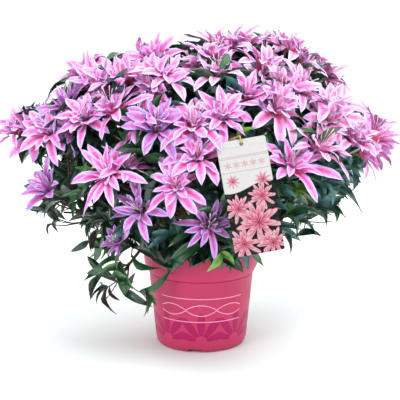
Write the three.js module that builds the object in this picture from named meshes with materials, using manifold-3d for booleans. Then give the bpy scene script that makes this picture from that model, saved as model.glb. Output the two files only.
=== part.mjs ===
// Azalea shrub in its nursery pot, with a hanging plant label.
// Millimetres, +Z up. The origin is the middle of the pot's flat underside, the front faces -Y.
import * as THREE from 'three';
import Module from 'manifold-3d';
import { mergeVertices } from 'three/addons/utils/BufferGeometryUtils.js';

// Pot: a tapered tub with a deep rim band, standing on a flat foot with drainage notches.
const POT_HEIGHT = 149;
const POT_SIDES = 32;
const POT_WALL = 2.2;
const RIM_RADIUS = 85;
const RIM_BAND_FOOT = 122;
const SHOULDER_HEIGHT = 109.4;
const BODY_TOP_RADIUS = 77.3;
const BODY_FOOT_RADIUS = 67.6;
const FOOT_BEVEL = 12;
const FLOOR_THICKNESS = 3;
const HEEL_RADIUS = 55;
const HEEL_HEIGHT = 14;
const NOTCH = { count: 4, turn: -98.5, width: 16, height: 4.6, depth: 9 };

// Compost that fills the pot.
const COMPOST_LEVEL = 136;
const COMPOST_EDGE_DROP = 1.5;
const FIT = 0.45;

// Trunk, from the compost to its fork.
const TRUNK_TOP = new THREE.Vector3(3, -2, 166);
const TRUNK_FOOT = new THREE.Vector3(-2, 1, COMPOST_LEVEL + 0.3);
const TRUNK_RADIUS = 11;
const TRUNK_TOP_RADIUS = 8.5;
const ROOT_FLARE = 6;
const ROOT_LOBES = 5;

// Boughs: tapered limbs with a few flat sides. A bough ends half way out to its mass. GAP lies
// between a bough and its mass's stem, CUT_GAP between a bough and the limb it rises from.
const BOUGH_SIDES = 5;
const BOUGH_RINGS = 4;
const MAIN_ROOT_RADIUS = 4.8;
const SIDE_ROOT_RADIUS = 3.5;
const BOUGH_TIP_RADIUS = 2.4;
const BOUGH_REACH = 0.5;
const FIRST_FORK = 0.3;
const FORK_STEP = 0.11;
const LOWEST_TIP_TILT = -20;
const GAP = 0.3;
const CUT_GAP = 0.4;
const FINEST = 0.0015;

// Crown: a low, full-shouldered dome of foliage around a point just above the fork. It swells
// right of its top and at its left shoulder, and dips a little at its right shoulder. Its
// underside rises outward from the pot's rim, and hangs lowest at the left.
const CROWN_CENTRE = new THREE.Vector3(0, 0, 190);
const CROWN_RADII = new THREE.Vector3(300, 248, 254);
const CROWN_FULLNESS = 2.6;
const SWELLS = [
  { turn: 0, tilt: 70, rise: 0.1, narrow: 22 },
  { turn: 0, tilt: 38, rise: -0.08, narrow: 60 },
  { turn: 180, tilt: 32, rise: 0.06, narrow: 40 },
];
const DROOP = { share: 0.35, right: 0.05, from: 27, later: 3, over: 45 };
const CORE = 0.42;
const RIM_CLEARANCE = { radius: 96, height: 152 };
const SKIRT = { rim: 146, rise: 0.23, left: { drop: 95, rise: 1.12 }, right: { drop: 8, rise: 0.7 } };
const CELL_MARGIN = 0.5;
const LIMB_MARGIN = 0.6;

// Twigs, leaves and blooms.
const STEM = { root: 2.4, tip: 1.5, reach: 0.78, sides: 3 };
const TWIG = { root: 1.9, tip: 1.2, sides: 3 };
const LEAF = { length: 60, width: 20, thickness: 1.4, curl: 3, neck: 12 };
const LEAF_TRIES = 12;
const LEAF_SHRINK = 0.6;
const LEAVES_PER_SHOOT = 4;
const LEAVES_UNDER_BLOOM = { count: 3, height: 0.66 };
const BLOOM = { radius: 44, petals: 6, depth: 5, dome: 5, sink: 9, apart: 2, joint: 7 };
const PETAL = { shortest: 0.82, notch: 0.24, droop: -5, notchHeight: 1 };
const SHOOT = { pitch: 6, near: 0.56, far: 0.84, tries: 24, apart: 5 };

// Foliage masses of the front half, by turn and tilt in degrees about the crown's centre, with
// the blooms each carries: their number, and the spin and pitch of the spiral they sit on.
// A main mass has its bough straight from the trunk. The back half is the same, half a turn on.
const HALF = [
  { name: 'tip_left', turn: -158, tilt: 27, blooms: 3, spin: 40, pitch: 10 },
  { name: 'high_left', turn: -147, tilt: 42, blooms: 3, spin: 198, pitch: 6, main: true },
  { name: 'crest_left', turn: -130, tilt: 53, blooms: 3, spin: 139, pitch: 8 },
  { name: 'low_left', turn: -109, tilt: 19, blooms: 3, spin: 242, pitch: 8.5, main: true },
  { name: 'middle', turn: -98, tilt: 39, blooms: 3, spin: 32, pitch: 6 },
  { name: 'crest_middle', turn: -74, tilt: 54, blooms: 3, spin: 326, pitch: 7 },
  { name: 'crest_right', turn: -44, tilt: 54, blooms: 3, spin: 309, pitch: 8, main: true },
  { name: 'low_right', turn: -50, tilt: 27, blooms: 2, spin: 45, pitch: 6, main: true },
  { name: 'tip_right', turn: -25, tilt: 31, blooms: 3, spin: 199, pitch: 7 },
];
const SKIRT_MASSES = [
  { name: 'top', turn: -20, tilt: 80, blooms: 3, spin: 262, pitch: 8, shoots: 3 },
  { name: 'skirt_left', turn: -130, tilt: 0, blooms: 1, spin: 0, pitch: 7, shoots: 5 },
  { name: 'skirt_front', turn: -86, tilt: 1, blooms: 1, spin: 98, pitch: 12, shoots: 5 },
  { name: 'skirt_right', turn: -46, tilt: 1, blooms: 0, spin: 0, pitch: 7, shoots: 5 },
  { name: 'sprig_left', turn: -174, tilt: 3, blooms: 0, spin: 0, pitch: 7, shoots: 5 },
  { name: 'sprig_hanging', turn: -152, tilt: -30, blooms: 0, spin: 0, pitch: 7, shoots: 3, hang: 75 },
  { name: 'sprig_right', turn: -12, tilt: 4, blooms: 0, spin: 0, pitch: 7, shoots: 5 },
  { name: 'skirt_back_right', turn: 48, tilt: 0, blooms: 1, spin: 30, pitch: 9, shoots: 5 },
  { name: 'skirt_back_left', turn: 118, tilt: 0, blooms: 1, spin: 60, pitch: 9, shoots: 5 },
];
const SHOOTS_PER_MASS = 2;

// Hanging label: a card with rounded corners and a punched hole.
const CARD = { width: 65, height: 150, thickness: 0.8, corner: 3, hole: 2.4, holeDrop: 6 };
const CARD_CENTRE = new THREE.Vector3(63.6, -235, 270.2);
const CARD_LEAN = 78.5;
const CARD_ROLL = 10;
const CARD_CLEARANCE = 4;
const TIE = { thickness: 1.8, hold: 0.72 };

// Colours taken from the plant and its pot.
const PINK_POT = new THREE.MeshStandardMaterial({ color: 0xcd4b73, roughness: 0.45 });
const COMPOST = new THREE.MeshStandardMaterial({ color: 0x3a2a20, roughness: 1 });
const BARK = new THREE.MeshStandardMaterial({ color: 0x6b4f3c, roughness: 0.9 });
const BLOSSOM = new THREE.MeshStandardMaterial({ color: 0xe56cae, roughness: 0.6 });
const FOLIAGE = new THREE.MeshStandardMaterial({ color: 0x2f5237, roughness: 0.45 });
const CARD_STOCK = new THREE.MeshStandardMaterial({ color: 0xf0ede6, roughness: 0.5 });
const TWINE = new THREE.MeshStandardMaterial({ color: 0xb58a55, roughness: 0.9 });

const UP = new THREE.Vector3(0, 0, 1);
const GOLDEN_TURN = 137.5;
const wasm = await Module();
wasm.setup();
const rad = THREE.MathUtils.degToRad;
const mix = THREE.MathUtils.lerp;

// A repeatable number from 0 to 1 for one trait of one numbered item.
function draw(item, trait, salt) {
  const wave = Math.sin(item * 12.9898 + trait * 78.233 + salt * 37.719) * 43758.5453;
  return wave - Math.floor(wave);
}

function direction(turn, tilt) {
  const flat = Math.cos(rad(tilt));
  return new THREE.Vector3(
    flat * Math.cos(rad(turn)), flat * Math.sin(rad(turn)), Math.sin(rad(tilt)));
}

// Turns an axis by an angle away from itself, towards a bearing around it.
function lean(axis, bearing, angle) {
  const side = new THREE.Vector3().crossVectors(UP, axis).normalize();
  const rise = new THREE.Vector3().crossVectors(axis, side);
  return axis.clone().multiplyScalar(Math.cos(rad(angle)))
    .addScaledVector(side, Math.sin(rad(angle)) * Math.cos(rad(bearing)))
    .addScaledVector(rise, Math.sin(rad(angle)) * Math.sin(rad(bearing)));
}

function tiltOf(way) {
  return THREE.MathUtils.radToDeg(Math.asin(THREE.MathUtils.clamp(way.z, -1, 1)));
}

// How far the crown reaches from its centre along a direction.
function crownReach(way) {
  const droop = 1 - (DROOP.share + DROOP.right * way.x)
    * THREE.MathUtils.smoothstep(DROOP.from + DROOP.later * way.x - tiltOf(way), 0, DROOP.over);
  const swell = SWELLS.reduce((sum, { turn, tilt, rise, narrow }) => (
    sum + rise * Math.max(0, way.dot(direction(turn, tilt))) ** narrow), 1);
  const flat = Math.hypot(way.x / CROWN_RADII.x, way.y / CROWN_RADII.y);
  const high = Math.abs(way.z) / CROWN_RADII.z;
  return droop * swell / (flat ** CROWN_FULLNESS + high ** CROWN_FULLNESS) ** (1 / CROWN_FULLNESS);
}

// The lowest height at which foliage hangs over a spot beside the pot.
function skirtHeight(spot) {
  const out = Math.hypot(spot.x, spot.y);
  if (out < RIM_CLEARANCE.radius) return RIM_CLEARANCE.height;
  const side = spot.x < 0 ? SKIRT.left : SKIRT.right;
  const share = Math.abs(spot.x / out) ** 3;
  const rise = mix(SKIRT.rise, side.rise, share);
  return SKIRT.rim - side.drop * share + rise * (out - RIM_CLEARANCE.radius);
}

// A closed solid from a geometry: shared corners joined, empty faces dropped, faces outward.
function solid(geometry) {
  geometry.deleteAttribute('normal');
  geometry.deleteAttribute('uv');
  const joined = mergeVertices(geometry, 1e-3);
  const place = joined.attributes.position.array;
  const index = joined.index.array;
  const faces = [];
  let volume = 0;
  const corners = [new THREE.Vector3(), new THREE.Vector3(), new THREE.Vector3()];
  for (let i = 0; i < index.length; i += 3) {
    const [a, b, c] = index.slice(i, i + 3);
    if (a === b || b === c || c === a) continue;
    faces.push([a, b, c]);
    [a, b, c].forEach((v, k) => corners[k].fromArray(place, v * 3));
    volume += corners[0].dot(corners[1].cross(corners[2]));
  }
  if (volume < 0) faces.forEach((face) => face.reverse());
  return new wasm.Manifold(new wasm.Mesh({
    numProp: 3,
    vertProperties: new Float32Array(place),
    triVerts: new Uint32Array(faces.flat()),
  }));
}

// Whether all corners of a solid are further apart than the finest detail.
function isCrisp(body) {
  const { vertProperties } = body.getMesh();
  return [0, 0.5].every((shift) => {
    const cells = new Set();
    for (let i = 0; i < vertProperties.length; i += 3) {
      cells.add(vertProperties.slice(i, i + 3).map((v) => Math.floor(v / FINEST + shift)).join());
    }
    return cells.size === vertProperties.length / 3;
  });
}

// Joins solids into one. A piece whose join would leave a sliver is left out, and so is what
// isn't attached to the first piece.
function fuse(solids) {
  let whole = solids[0];
  for (const next of solids.slice(1)) {
    const joined = whole.add(next);
    if (isCrisp(joined)) whole = joined;
  }
  return whole.decompose().reduce(
    (a, b) => (b.intersect(solids[0]).volume() > a.intersect(solids[0]).volume() ? b : a));
}

function largest(whole) {
  return whole.decompose().reduce((a, b) => (b.volume() > a.volume() ? b : a));
}

function geometryOf(body) {
  const mesh = body.getMesh();
  const geometry = new THREE.BufferGeometry();
  geometry.setAttribute('position', new THREE.BufferAttribute(mesh.vertProperties.slice(), 3));
  geometry.setIndex(new THREE.BufferAttribute(mesh.triVerts.slice(), 1));
  geometry.computeVertexNormals();
  return geometry;
}

const group = new THREE.Group();

function addPart(name, geometry, material) {
  const mesh = new THREE.Mesh(geometry, material);
  mesh.name = name;
  group.add(mesh);
  return mesh;
}

// A closed turned shape about Z from [radius, height] pairs.
function turned(profile, sides) {
  const points = profile.map(([radius, height]) => new THREE.Vector2(radius, height));
  return new THREE.LatheGeometry(points, sides).rotateX(Math.PI / 2);
}

// Pot
const innerBodyTop = BODY_TOP_RADIUS - POT_WALL;
const innerBodyFoot = BODY_FOOT_RADIUS - POT_WALL;
const innerRim = RIM_RADIUS - POT_WALL;
const potProfile = [
  [0, 0],
  [BODY_FOOT_RADIUS - 8, 0],
  [BODY_FOOT_RADIUS - 3, FOOT_BEVEL * 0.35],
  [BODY_FOOT_RADIUS, FOOT_BEVEL],
  [BODY_TOP_RADIUS, SHOULDER_HEIGHT],
  [BODY_TOP_RADIUS + 1, SHOULDER_HEIGHT + 0.6],
  [RIM_RADIUS - 4.2, SHOULDER_HEIGHT + 5],
  [RIM_RADIUS - 1.5, SHOULDER_HEIGHT + 10.4],
  [RIM_RADIUS, SHOULDER_HEIGHT + 18],
  [RIM_RADIUS, POT_HEIGHT - 0.8],
  [RIM_RADIUS - 0.8, POT_HEIGHT],
  [innerRim, POT_HEIGHT],
  [innerRim, RIM_BAND_FOOT + 1],
  [innerRim - 4, SHOULDER_HEIGHT + 5],
  [innerBodyTop, SHOULDER_HEIGHT - 1],
  [innerBodyFoot, HEEL_HEIGHT],
  [HEEL_RADIUS, FLOOR_THICKNESS],
  [0, FLOOR_THICKNESS],
];
let pot = solid(turned(potProfile, POT_SIDES));
for (let k = 0; k < NOTCH.count; k++) {
  const cut = new THREE.BoxGeometry(NOTCH.depth * 2, NOTCH.width, NOTCH.height * 2);
  cut.translate(BODY_FOOT_RADIUS, 0, 0);
  cut.rotateZ(rad(NOTCH.turn + k * 360 / NOTCH.count));
  pot = pot.subtract(solid(cut));
}
addPart('pot', geometryOf(pot), PINK_POT);

const compostProfile = [
  [0, FLOOR_THICKNESS + FIT],
  [HEEL_RADIUS - FIT, FLOOR_THICKNESS + FIT],
  [innerBodyFoot - FIT, HEEL_HEIGHT + FIT],
  [innerBodyTop - FIT, SHOULDER_HEIGHT - 1],
  [innerRim - FIT, RIM_BAND_FOOT + 1],
  [innerRim - FIT, COMPOST_LEVEL - COMPOST_EDGE_DROP],
  [0, COMPOST_LEVEL],
];
addPart('compost', geometryOf(solid(turned(compostProfile, POT_SIDES))), COMPOST);

// A tapered limb along a curve: a turned rod whose rings are carried onto the curve.
function limbShape(curve, footRadius, tipRadius, rings, { grow = 0, flare = 0 } = {}) {
  const rod = [[0, 0]];
  for (let ring = 0; ring <= rings; ring++) rod.push([1, ring]);
  rod.push([0, rings]);
  const shape = new THREE.LatheGeometry(
    rod.map(([radius, ring]) => new THREE.Vector2(radius, ring)), BOUGH_SIDES);
  const frames = curve.computeFrenetFrames(rings, false);
  const place = shape.attributes.position;
  const point = new THREE.Vector3();
  for (let i = 0; i < place.count; i++) {
    point.fromBufferAttribute(place, i);
    const ring = Math.round(point.y);
    const along = ring / rings;
    const bearing = Math.atan2(point.z, point.x);
    const lobe = 1 + 0.35 * Math.cos(ROOT_LOBES * bearing);
    const radius = mix(footRadius, tipRadius, along ** 0.8)
      + flare * lobe * Math.exp(-7 * along) + grow;
    const spot = curve.getPointAt(along)
      .addScaledVector(frames.normals[ring], point.x * radius)
      .addScaledVector(frames.binormals[ring], point.z * radius);
    if (ring === 0) spot.addScaledVector(frames.tangents[0], -grow);
    if (ring === rings) spot.addScaledVector(frames.tangents[rings], grow);
    place.setXYZ(i, spot.x, spot.y, spot.z);
  }
  return shape;
}

// Trunk
const trunkCurve = new THREE.QuadraticBezierCurve3(
  TRUNK_FOOT,
  new THREE.Vector3(TRUNK_FOOT.x - 1, TRUNK_FOOT.y, mix(TRUNK_FOOT.z, TRUNK_TOP.z, 0.5)),
  TRUNK_TOP);
const trunkSize = [trunkCurve, TRUNK_RADIUS, TRUNK_TOP_RADIUS, BOUGH_RINGS];
const trunk = solid(limbShape(...trunkSize, { flare: ROOT_FLARE }));
const footing = new THREE.BoxGeometry(80, 80, 20).translate(0, 0, TRUNK_FOOT.z - 10);
addPart('trunk', geometryOf(trunk.subtract(solid(footing))), BARK);
const limbCuts = [solid(limbShape(...trunkSize, { flare: ROOT_FLARE, grow: CUT_GAP }))];

// Foliage masses: the front half, the same half a turn on, and the skirt below them.
const masses = [
  ...HALF.map((mass) => ({ ...mass, name: `front_${mass.name}`, shoots: SHOOTS_PER_MASS })),
  ...HALF.map((mass) => ({
    ...mass, name: `back_${mass.name}`, turn: mass.turn + 180, shoots: SHOOTS_PER_MASS })),
  ...SKIRT_MASSES,
];
masses.forEach((mass, salt) => {
  mass.salt = salt;
  mass.way = direction(mass.turn, mass.tilt);
  const tipWay = direction(mass.turn, Math.max(mass.tilt, LOWEST_TIP_TILT));
  mass.tip = CROWN_CENTRE.clone().addScaledVector(tipWay, crownReach(tipWay) * BOUGH_REACH);
  mass.stemEnd = CROWN_CENTRE.clone()
    .addScaledVector(mass.way, crownReach(mass.way) * STEM.reach);
  mass.stemWay = mass.stemEnd.clone().sub(mass.tip).normalize();
});

// Boughs: the main ones rise from the trunk, the others fork from the main bough nearest in
// direction, one fork after another along it.
function boughCurve(root, mass) {
  const bend = root.distanceTo(mass.tip) * 0.42;
  const shoulder = mass.tip.clone().addScaledVector(mass.stemWay, -bend);
  return new THREE.QuadraticBezierCurve3(root, shoulder, mass.tip);
}

const obstacles = [];

function growBough(mass, root, rootRadius) {
  mass.curve = boughCurve(root, mass);
  mass.forks = 0;
  const size = [mass.curve, rootRadius, BOUGH_TIP_RADIUS, BOUGH_RINGS];
  let bough = solid(limbShape(...size));
  for (const cut of limbCuts) bough = bough.subtract(cut);
  limbCuts.push(solid(limbShape(...size, { grow: CUT_GAP })));
  addPart(`bough_${mass.name}`, geometryOf(largest(bough)), BARK);
  const spots = mass.curve.getSpacedPoints(BOUGH_RINGS);
  for (let k = 0; k < BOUGH_RINGS; k++) {
    const radius = mix(rootRadius, BOUGH_TIP_RADIUS, k / BOUGH_RINGS);
    obstacles.push({ from: spots[k], to: spots[k + 1], radius, mass });
  }
}

const mains = masses.filter((mass) => mass.main);
mains.forEach((mass, k) => {
  const height = 0.45 + 0.25 * (k % 3);
  growBough(mass, trunkCurve.getPointAt(Math.min(height, 0.95)), MAIN_ROOT_RADIUS);
});
for (const mass of masses.filter((each) => !each.main)) {
  const parent = mains.reduce((a, b) => (b.way.dot(mass.way) > a.way.dot(mass.way) ? b : a));
  const root = parent.curve.getPointAt(FIRST_FORK + FORK_STEP * parent.forks);
  parent.forks += 1;
  growBough(mass, root, SIDE_ROOT_RADIUS);
}
for (const mass of masses) {
  obstacles.push({ from: mass.tip, to: mass.stemEnd, radius: STEM.root, mass, stem: true });
}

// Hanging label
function cardPoint(x, y, z) {
  const turn = new THREE.Euler(rad(CARD_LEAN), 0, rad(CARD_ROLL));
  return new THREE.Vector3(x, y, z).applyEuler(turn).add(CARD_CENTRE);
}

const cardNormal = cardPoint(0, 0, 1).sub(CARD_CENTRE);
const cardRight = cardPoint(1, 0, 0).sub(CARD_CENTRE);
const cardUp = cardPoint(0, 1, 0).sub(CARD_CENTRE);

function cardOutline() {
  const { width, height, corner } = CARD;
  const shape = new THREE.Shape();
  shape.moveTo(-width / 2 + corner, -height / 2);
  for (const [x, y, start] of [[1, -1, -90], [1, 1, 0], [-1, 1, 90], [-1, -1, 180]]) {
    shape.absarc(x * (width / 2 - corner), y * (height / 2 - corner), corner,
      rad(start), rad(start + 90));
  }
  const hole = new THREE.Path();
  hole.absarc(0, height / 2 - CARD.holeDrop, CARD.hole, 0, Math.PI * 2, true);
  shape.holes.push(hole);
  return shape;
}
const cardShape = new THREE.ExtrudeGeometry(cardOutline(), {
  depth: CARD.thickness, bevelEnabled: false, curveSegments: 3 });
cardShape.translate(0, 0, -CARD.thickness / 2);
const card = addPart('label_card', geometryOf(solid(cardShape)), CARD_STOCK);
card.rotation.set(rad(CARD_LEAN), 0, rad(CARD_ROLL));
card.position.copy(CARD_CENTRE);

// Foliage that would lie on the card or in front of it.
function hitsCard(spot) {
  const away = spot.clone().sub(CARD_CENTRE);
  return away.dot(cardNormal) > -CARD_CLEARANCE
    && Math.abs(away.dot(cardRight)) < CARD.width / 2 + CARD_CLEARANCE
    && Math.abs(away.dot(cardUp)) < CARD.height / 2 + CARD_CLEARANCE;
}

// Whether a spot lies in a mass's own space: nearer to its direction than to any other's,
// outside the open core, above the skirt or by its hang below it, and behind the label.
function inSpace(mass, spot, margin = CELL_MARGIN) {
  const away = spot.clone().sub(CROWN_CENTRE);
  for (const other of masses) {
    if (other === mass) continue;
    const across = other.way.clone().sub(mass.way);
    if (away.dot(across) > -margin * across.length()) return false;
  }
  if (away.length() < CORE * crownReach(away.clone().normalize())) return false;
  return spot.z > skirtHeight(spot) - (mass.hang ?? 0) && !hitsCard(spot);
}

// Shortest distance between two straight pieces.
function separation(a, b, c, d) {
  const ab = b.clone().sub(a);
  const cd = d.clone().sub(c);
  const ca = a.clone().sub(c);
  const e = ab.lengthSq();
  const f = cd.lengthSq();
  const g = ab.dot(cd);
  const spread = e * f - g * g;
  let s = spread > 1e-9
    ? THREE.MathUtils.clamp((g * cd.dot(ca) - f * ab.dot(ca)) / spread, 0, 1) : 0;
  const t = THREE.MathUtils.clamp((g * s + cd.dot(ca)) / f, 0, 1);
  s = THREE.MathUtils.clamp((g * t - ab.dot(ca)) / e, 0, 1);
  return a.clone().addScaledVector(ab, s).distanceTo(c.clone().addScaledVector(cd, t));
}

// Whether a straight piece keeps clear of every limb and the tie, its mass's stem apart.
function clearOfLimbs(mass, from, to, halfWidth) {
  return obstacles.every((limb) => (limb.stem && limb.mass === mass)
    || separation(from, to, limb.from, limb.to) > limb.radius + halfWidth + LIMB_MARGIN);
}

// Blooms sit at the crown's surface and face out of it. Shoots end short of it.
function planBloom(mass, k) {
  const way = lean(mass.way, mass.spin + k * GOLDEN_TURN, mass.pitch * Math.sqrt(k + 0.5));
  const centre = CROWN_CENTRE.clone().addScaledVector(way, crownReach(way) - BLOOM.sink);
  const outward = way.clone().divide(CROWN_RADII).normalize().addScaledVector(UP, 0.35);
  const axis = lean(outward.normalize(), 360 * draw(k, 5, mass.salt), 22 * draw(k, 6, mass.salt));
  const from = mass.tip.clone().lerp(mass.stemEnd, 0.45 + 0.5 * draw(k, 7, mass.salt));
  const to = centre.clone().addScaledVector(lean(axis, 90 / BLOOM.petals, 90), BLOOM.joint)
    .addScaledVector(axis, -BLOOM.dome / 4);
  return { centre, axis, from, to };
}

function planShoot(mass, k) {
  const way = lean(mass.way, mass.spin + 70 + k * GOLDEN_TURN, SHOOT.pitch * Math.sqrt(k + 1));
  const reach = crownReach(way) * mix(SHOOT.near, SHOOT.far, draw(k, 9, mass.salt));
  const from = mass.tip.clone().lerp(mass.stemEnd, 0.2 + 0.6 * draw(k, 10, mass.salt));
  return { from, to: CROWN_CENTRE.clone().addScaledVector(way, reach) };
}

for (const mass of masses) {
  mass.bloomTwigs = [...Array(mass.blooms).keys()].map((k) => planBloom(mass, k))
    .filter((bloom) => inSpace(mass, bloom.centre, BLOOM.depth + CELL_MARGIN));
}

// The label's tie: a loop from the punched hole to the nearest flowering twig and back.
const hole = cardPoint(0, CARD.height / 2 - CARD.holeDrop, 0);
const holdOn = (bloom) => bloom.from.clone().lerp(bloom.to, TIE.hold);
const hanger = masses.flatMap((mass) => mass.bloomTwigs).reduce(
  (a, b) => (holdOn(b).distanceTo(hole) < holdOn(a).distanceTo(hole) ? b : a));
const knot = holdOn(hanger);
const twigWay = hanger.to.clone().sub(hanger.from).normalize();
const toHole = hole.clone().sub(knot).projectOnPlane(twigWay).normalize();
const across = new THREE.Vector3().crossVectors(twigWay, toHole);
if (across.dot(cardUp) < 0) across.negate();
const loopRadius = mix(TWIG.root, TWIG.tip, TIE.hold) + TIE.thickness * 0.71 + GAP + 0.1;
const tiePath = [];
for (let angle = 150; angle >= -150; angle -= 50) {
  tiePath.push(knot.clone().addScaledVector(toHole, -loopRadius * Math.cos(rad(angle)))
    .addScaledVector(across, loopRadius * Math.sin(rad(angle))));
}
for (const [out, up] of [[-10, -2], [-2, 0], [1.6, 0.4], [3.8, 4.4], [1, 8.8], [-4, 10.4]]) {
  tiePath.push(hole.clone().addScaledVector(cardNormal, out).addScaledVector(cardUp, up));
}
tiePath.push(knot.clone().addScaledVector(toHole, loopRadius + 4).addScaledVector(across, 3));
const tieCurve = new THREE.CatmullRomCurve3(tiePath, false, 'centripetal');
// Its rings follow the path's own points, which are closer together at the bends.
tieCurve.getPointAt = tieCurve.getPoint;
tieCurve.getTangentAt = tieCurve.getTangent;
tieCurve.getSpacedPoints = tieCurve.getPoints;
const tieSteps = (tiePath.length - 1) * 2;
const tieHalf = TIE.thickness / 2;
const tieSection = new THREE.Shape([[-1, -1], [1, -1], [1, 1], [-1, 1]].map(
  ([x, y]) => new THREE.Vector2(x * tieHalf, y * tieHalf)));
addPart('label_tie', geometryOf(solid(new THREE.ExtrudeGeometry(tieSection, {
  steps: tieSteps, extrudePath: tieCurve, bevelEnabled: false }))), TWINE);
const tieSpots = tieCurve.getPoints(tieSteps);
for (let k = 0; k < tieSteps; k++) {
  obstacles.push({ from: tieSpots[k], to: tieSpots[k + 1], radius: TIE.thickness * 0.71 });
}

// A straight tapered rod from one spot to another, its corners at even bearings about it.
function rod(from, to, fromRadius, toRadius, sides) {
  const along = to.clone().sub(from);
  const shape = new THREE.CylinderGeometry(toRadius, fromRadius, along.length(), sides, 1);
  along.normalize();
  const middle = from.clone().lerp(to, 0.5);
  const place = shape.attributes.position;
  for (let i = 0; i < place.count; i++) {
    const [x, y, z] = [place.getX(i), place.getY(i), place.getZ(i)];
    const bearing = THREE.MathUtils.radToDeg(Math.atan2(x, z));
    const spot = middle.clone().addScaledVector(along, y)
      .addScaledVector(lean(along, bearing, 90), Math.hypot(x, z));
    place.setXYZ(i, spot.x, spot.y, spot.z);
  }
  return shape;
}

// A leaf of six faces: pointed at root and tip, widest in the middle and arched there.
function leafShape({ root, way, face, length, width }) {
  const shape = new THREE.LatheGeometry([
    new THREE.Vector2(0, -1), new THREE.Vector2(1, 0), new THREE.Vector2(0, 1)], 3);
  const side = new THREE.Vector3().crossVectors(face, way).normalize();
  const top = new THREE.Vector3().crossVectors(way, side);
  const middle = root.clone().addScaledVector(way, length / 2);
  const place = shape.attributes.position;
  for (let i = 0; i < place.count; i++) {
    const spot = middle.clone().addScaledVector(way, place.getY(i) * length / 2);
    if (Math.abs(place.getY(i)) < 0.5) {
      spot.addScaledVector(side, place.getX(i) / Math.sin(Math.PI / 3) * width / 2)
        .addScaledVector(top, LEAF.curl + place.getZ(i) * LEAF.thickness / 1.5);
    }
    place.setXYZ(i, spot.x, spot.y, spot.z);
  }
  return shape;
}

// Spots down a leaf's middle and at its two sides, by which its place is judged.
function leafSpots({ root, way, face, length, width }) {
  const side = new THREE.Vector3().crossVectors(face, way).setLength(width / 2);
  const middle = root.clone().addScaledVector(way, length / 2).addScaledVector(face, LEAF.curl);
  const spots = [middle.clone().add(side), middle.clone().sub(side), middle];
  for (let step = 2; step <= 8; step++) {
    spots.push(root.clone().addScaledVector(way, length * step / 8));
  }
  return spots;
}

// Whether a straight piece touches one of its mass's pieces, those of its own twig apart.
function touches(taken, twig, from, to, halfWidth) {
  return taken.some((other) => other.twig !== twig
    && separation(from, to, other.from, other.to) < other.radius + halfWidth);
}

// Leaves stand in three rows down a twig from its tip, each in the first free place. The first
// on a shoot carries its line on. A leaf that would leave the space or touch another is skipped.
function addLeaves(mass, solids, taken, twig, count, firstSpread, seed) {
  const along = twig.to.clone().sub(twig.from).normalize();
  let placed = 0;
  for (let k = 0; k < count * LEAF_TRIES && placed < count; k++) {
    const item = seed * 40 + k;
    const spread = k === 0 ? firstSpread : mix(30, 80, draw(item, 1, mass.salt));
    const bearing = 60 + 120 * k + mix(-15, 15, draw(item, 2, mass.salt));
    const way = lean(along, bearing, spread);
    const size = mix(1, LEAF_SHRINK, k / (count * LEAF_TRIES));
    const length = LEAF.length * size * mix(0.85, 1.1, draw(item, 3, mass.salt));
    const width = LEAF.width * size * mix(0.85, 1.15, draw(item, 4, mass.salt));
    const root = twig.to.clone().addScaledVector(along, -1.5 - 4 * placed);
    const face = along.clone().addScaledVector(UP, 0.6).projectOnPlane(way).normalize();
    const leaf = { root, way, face, length, width };
    const neck = root.clone().addScaledVector(way, LEAF.neck);
    const tip = root.clone().addScaledVector(way, length);
    if (!leafSpots(leaf).every((spot) => inSpace(mass, spot))
      || !clearOfLimbs(mass, root, tip, width / 2)
      || touches(taken, twig, neck, tip, width * 0.3)) continue;
    taken.push({ from: neck, to: tip, radius: width * 0.3 });
    solids.push(solid(leafShape(leaf)));
    placed += 1;
  }
}

// Whether a spot is nearer to its own bloom than to the others of its mass.
function clearOfBlooms(mass, bloom, spot) {
  return mass.bloomTwigs.every((other) => other === bloom
    || spot.distanceTo(other.centre) > spot.distanceTo(bloom.centre) + BLOOM.apart);
}

// The rim of a bloom: a pointed petal's tip and the notch after it, in turn. A petal that would
// leave the mass's space, reach another bloom or touch a limb is shortened.
function bloomRim(mass, bloom, seed) {
  const rim = [];
  for (let k = 0; k < BLOOM.petals * 2; k++) {
    const isTip = k % 2 === 0;
    const length = BLOOM.radius * mix(PETAL.shortest, 1, draw(k, 8, mass.salt + seed));
    const out = lean(bloom.axis, k * 180 / BLOOM.petals, 90)
      .multiplyScalar(isTip ? length : BLOOM.radius * PETAL.notch)
      .addScaledVector(bloom.axis, isTip ? PETAL.droop : PETAL.notchHeight);
    const start = bloom.centre.clone().addScaledVector(out, 0.1);
    let share = 1;
    const spot = bloom.centre.clone().add(out);
    while (share > 0.3 && !(inSpace(mass, spot) && clearOfBlooms(mass, bloom, spot)
      && clearOfLimbs(mass, start, spot, BLOOM.depth / 2))) {
      share -= 0.08;
      spot.copy(bloom.centre).addScaledVector(out, share);
    }
    rim.push(spot);
  }
  return rim;
}

// A bloom's whorl of petals as one star: a shallow dome above its rim, a shallow cone below.
function bloomShape(bloom) {
  const corners = bloom.rim.length;
  const shape = new THREE.LatheGeometry([
    new THREE.Vector2(0, -BLOOM.depth), new THREE.Vector2(1, 0), new THREE.Vector2(0, BLOOM.dome),
  ], corners);
  const place = shape.attributes.position;
  for (let i = 0; i < place.count; i++) {
    const x = place.getX(i);
    const z = place.getZ(i);
    const turn = Math.round(Math.atan2(x, z) / (Math.PI * 2) * corners + corners) % corners;
    const spot = Math.hypot(x, z) > 0.5 ? bloom.rim[turn]
      : bloom.centre.clone().addScaledVector(bloom.axis, place.getY(i));
    place.setXYZ(i, spot.x, spot.y, spot.z);
  }
  return shape;
}

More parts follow.
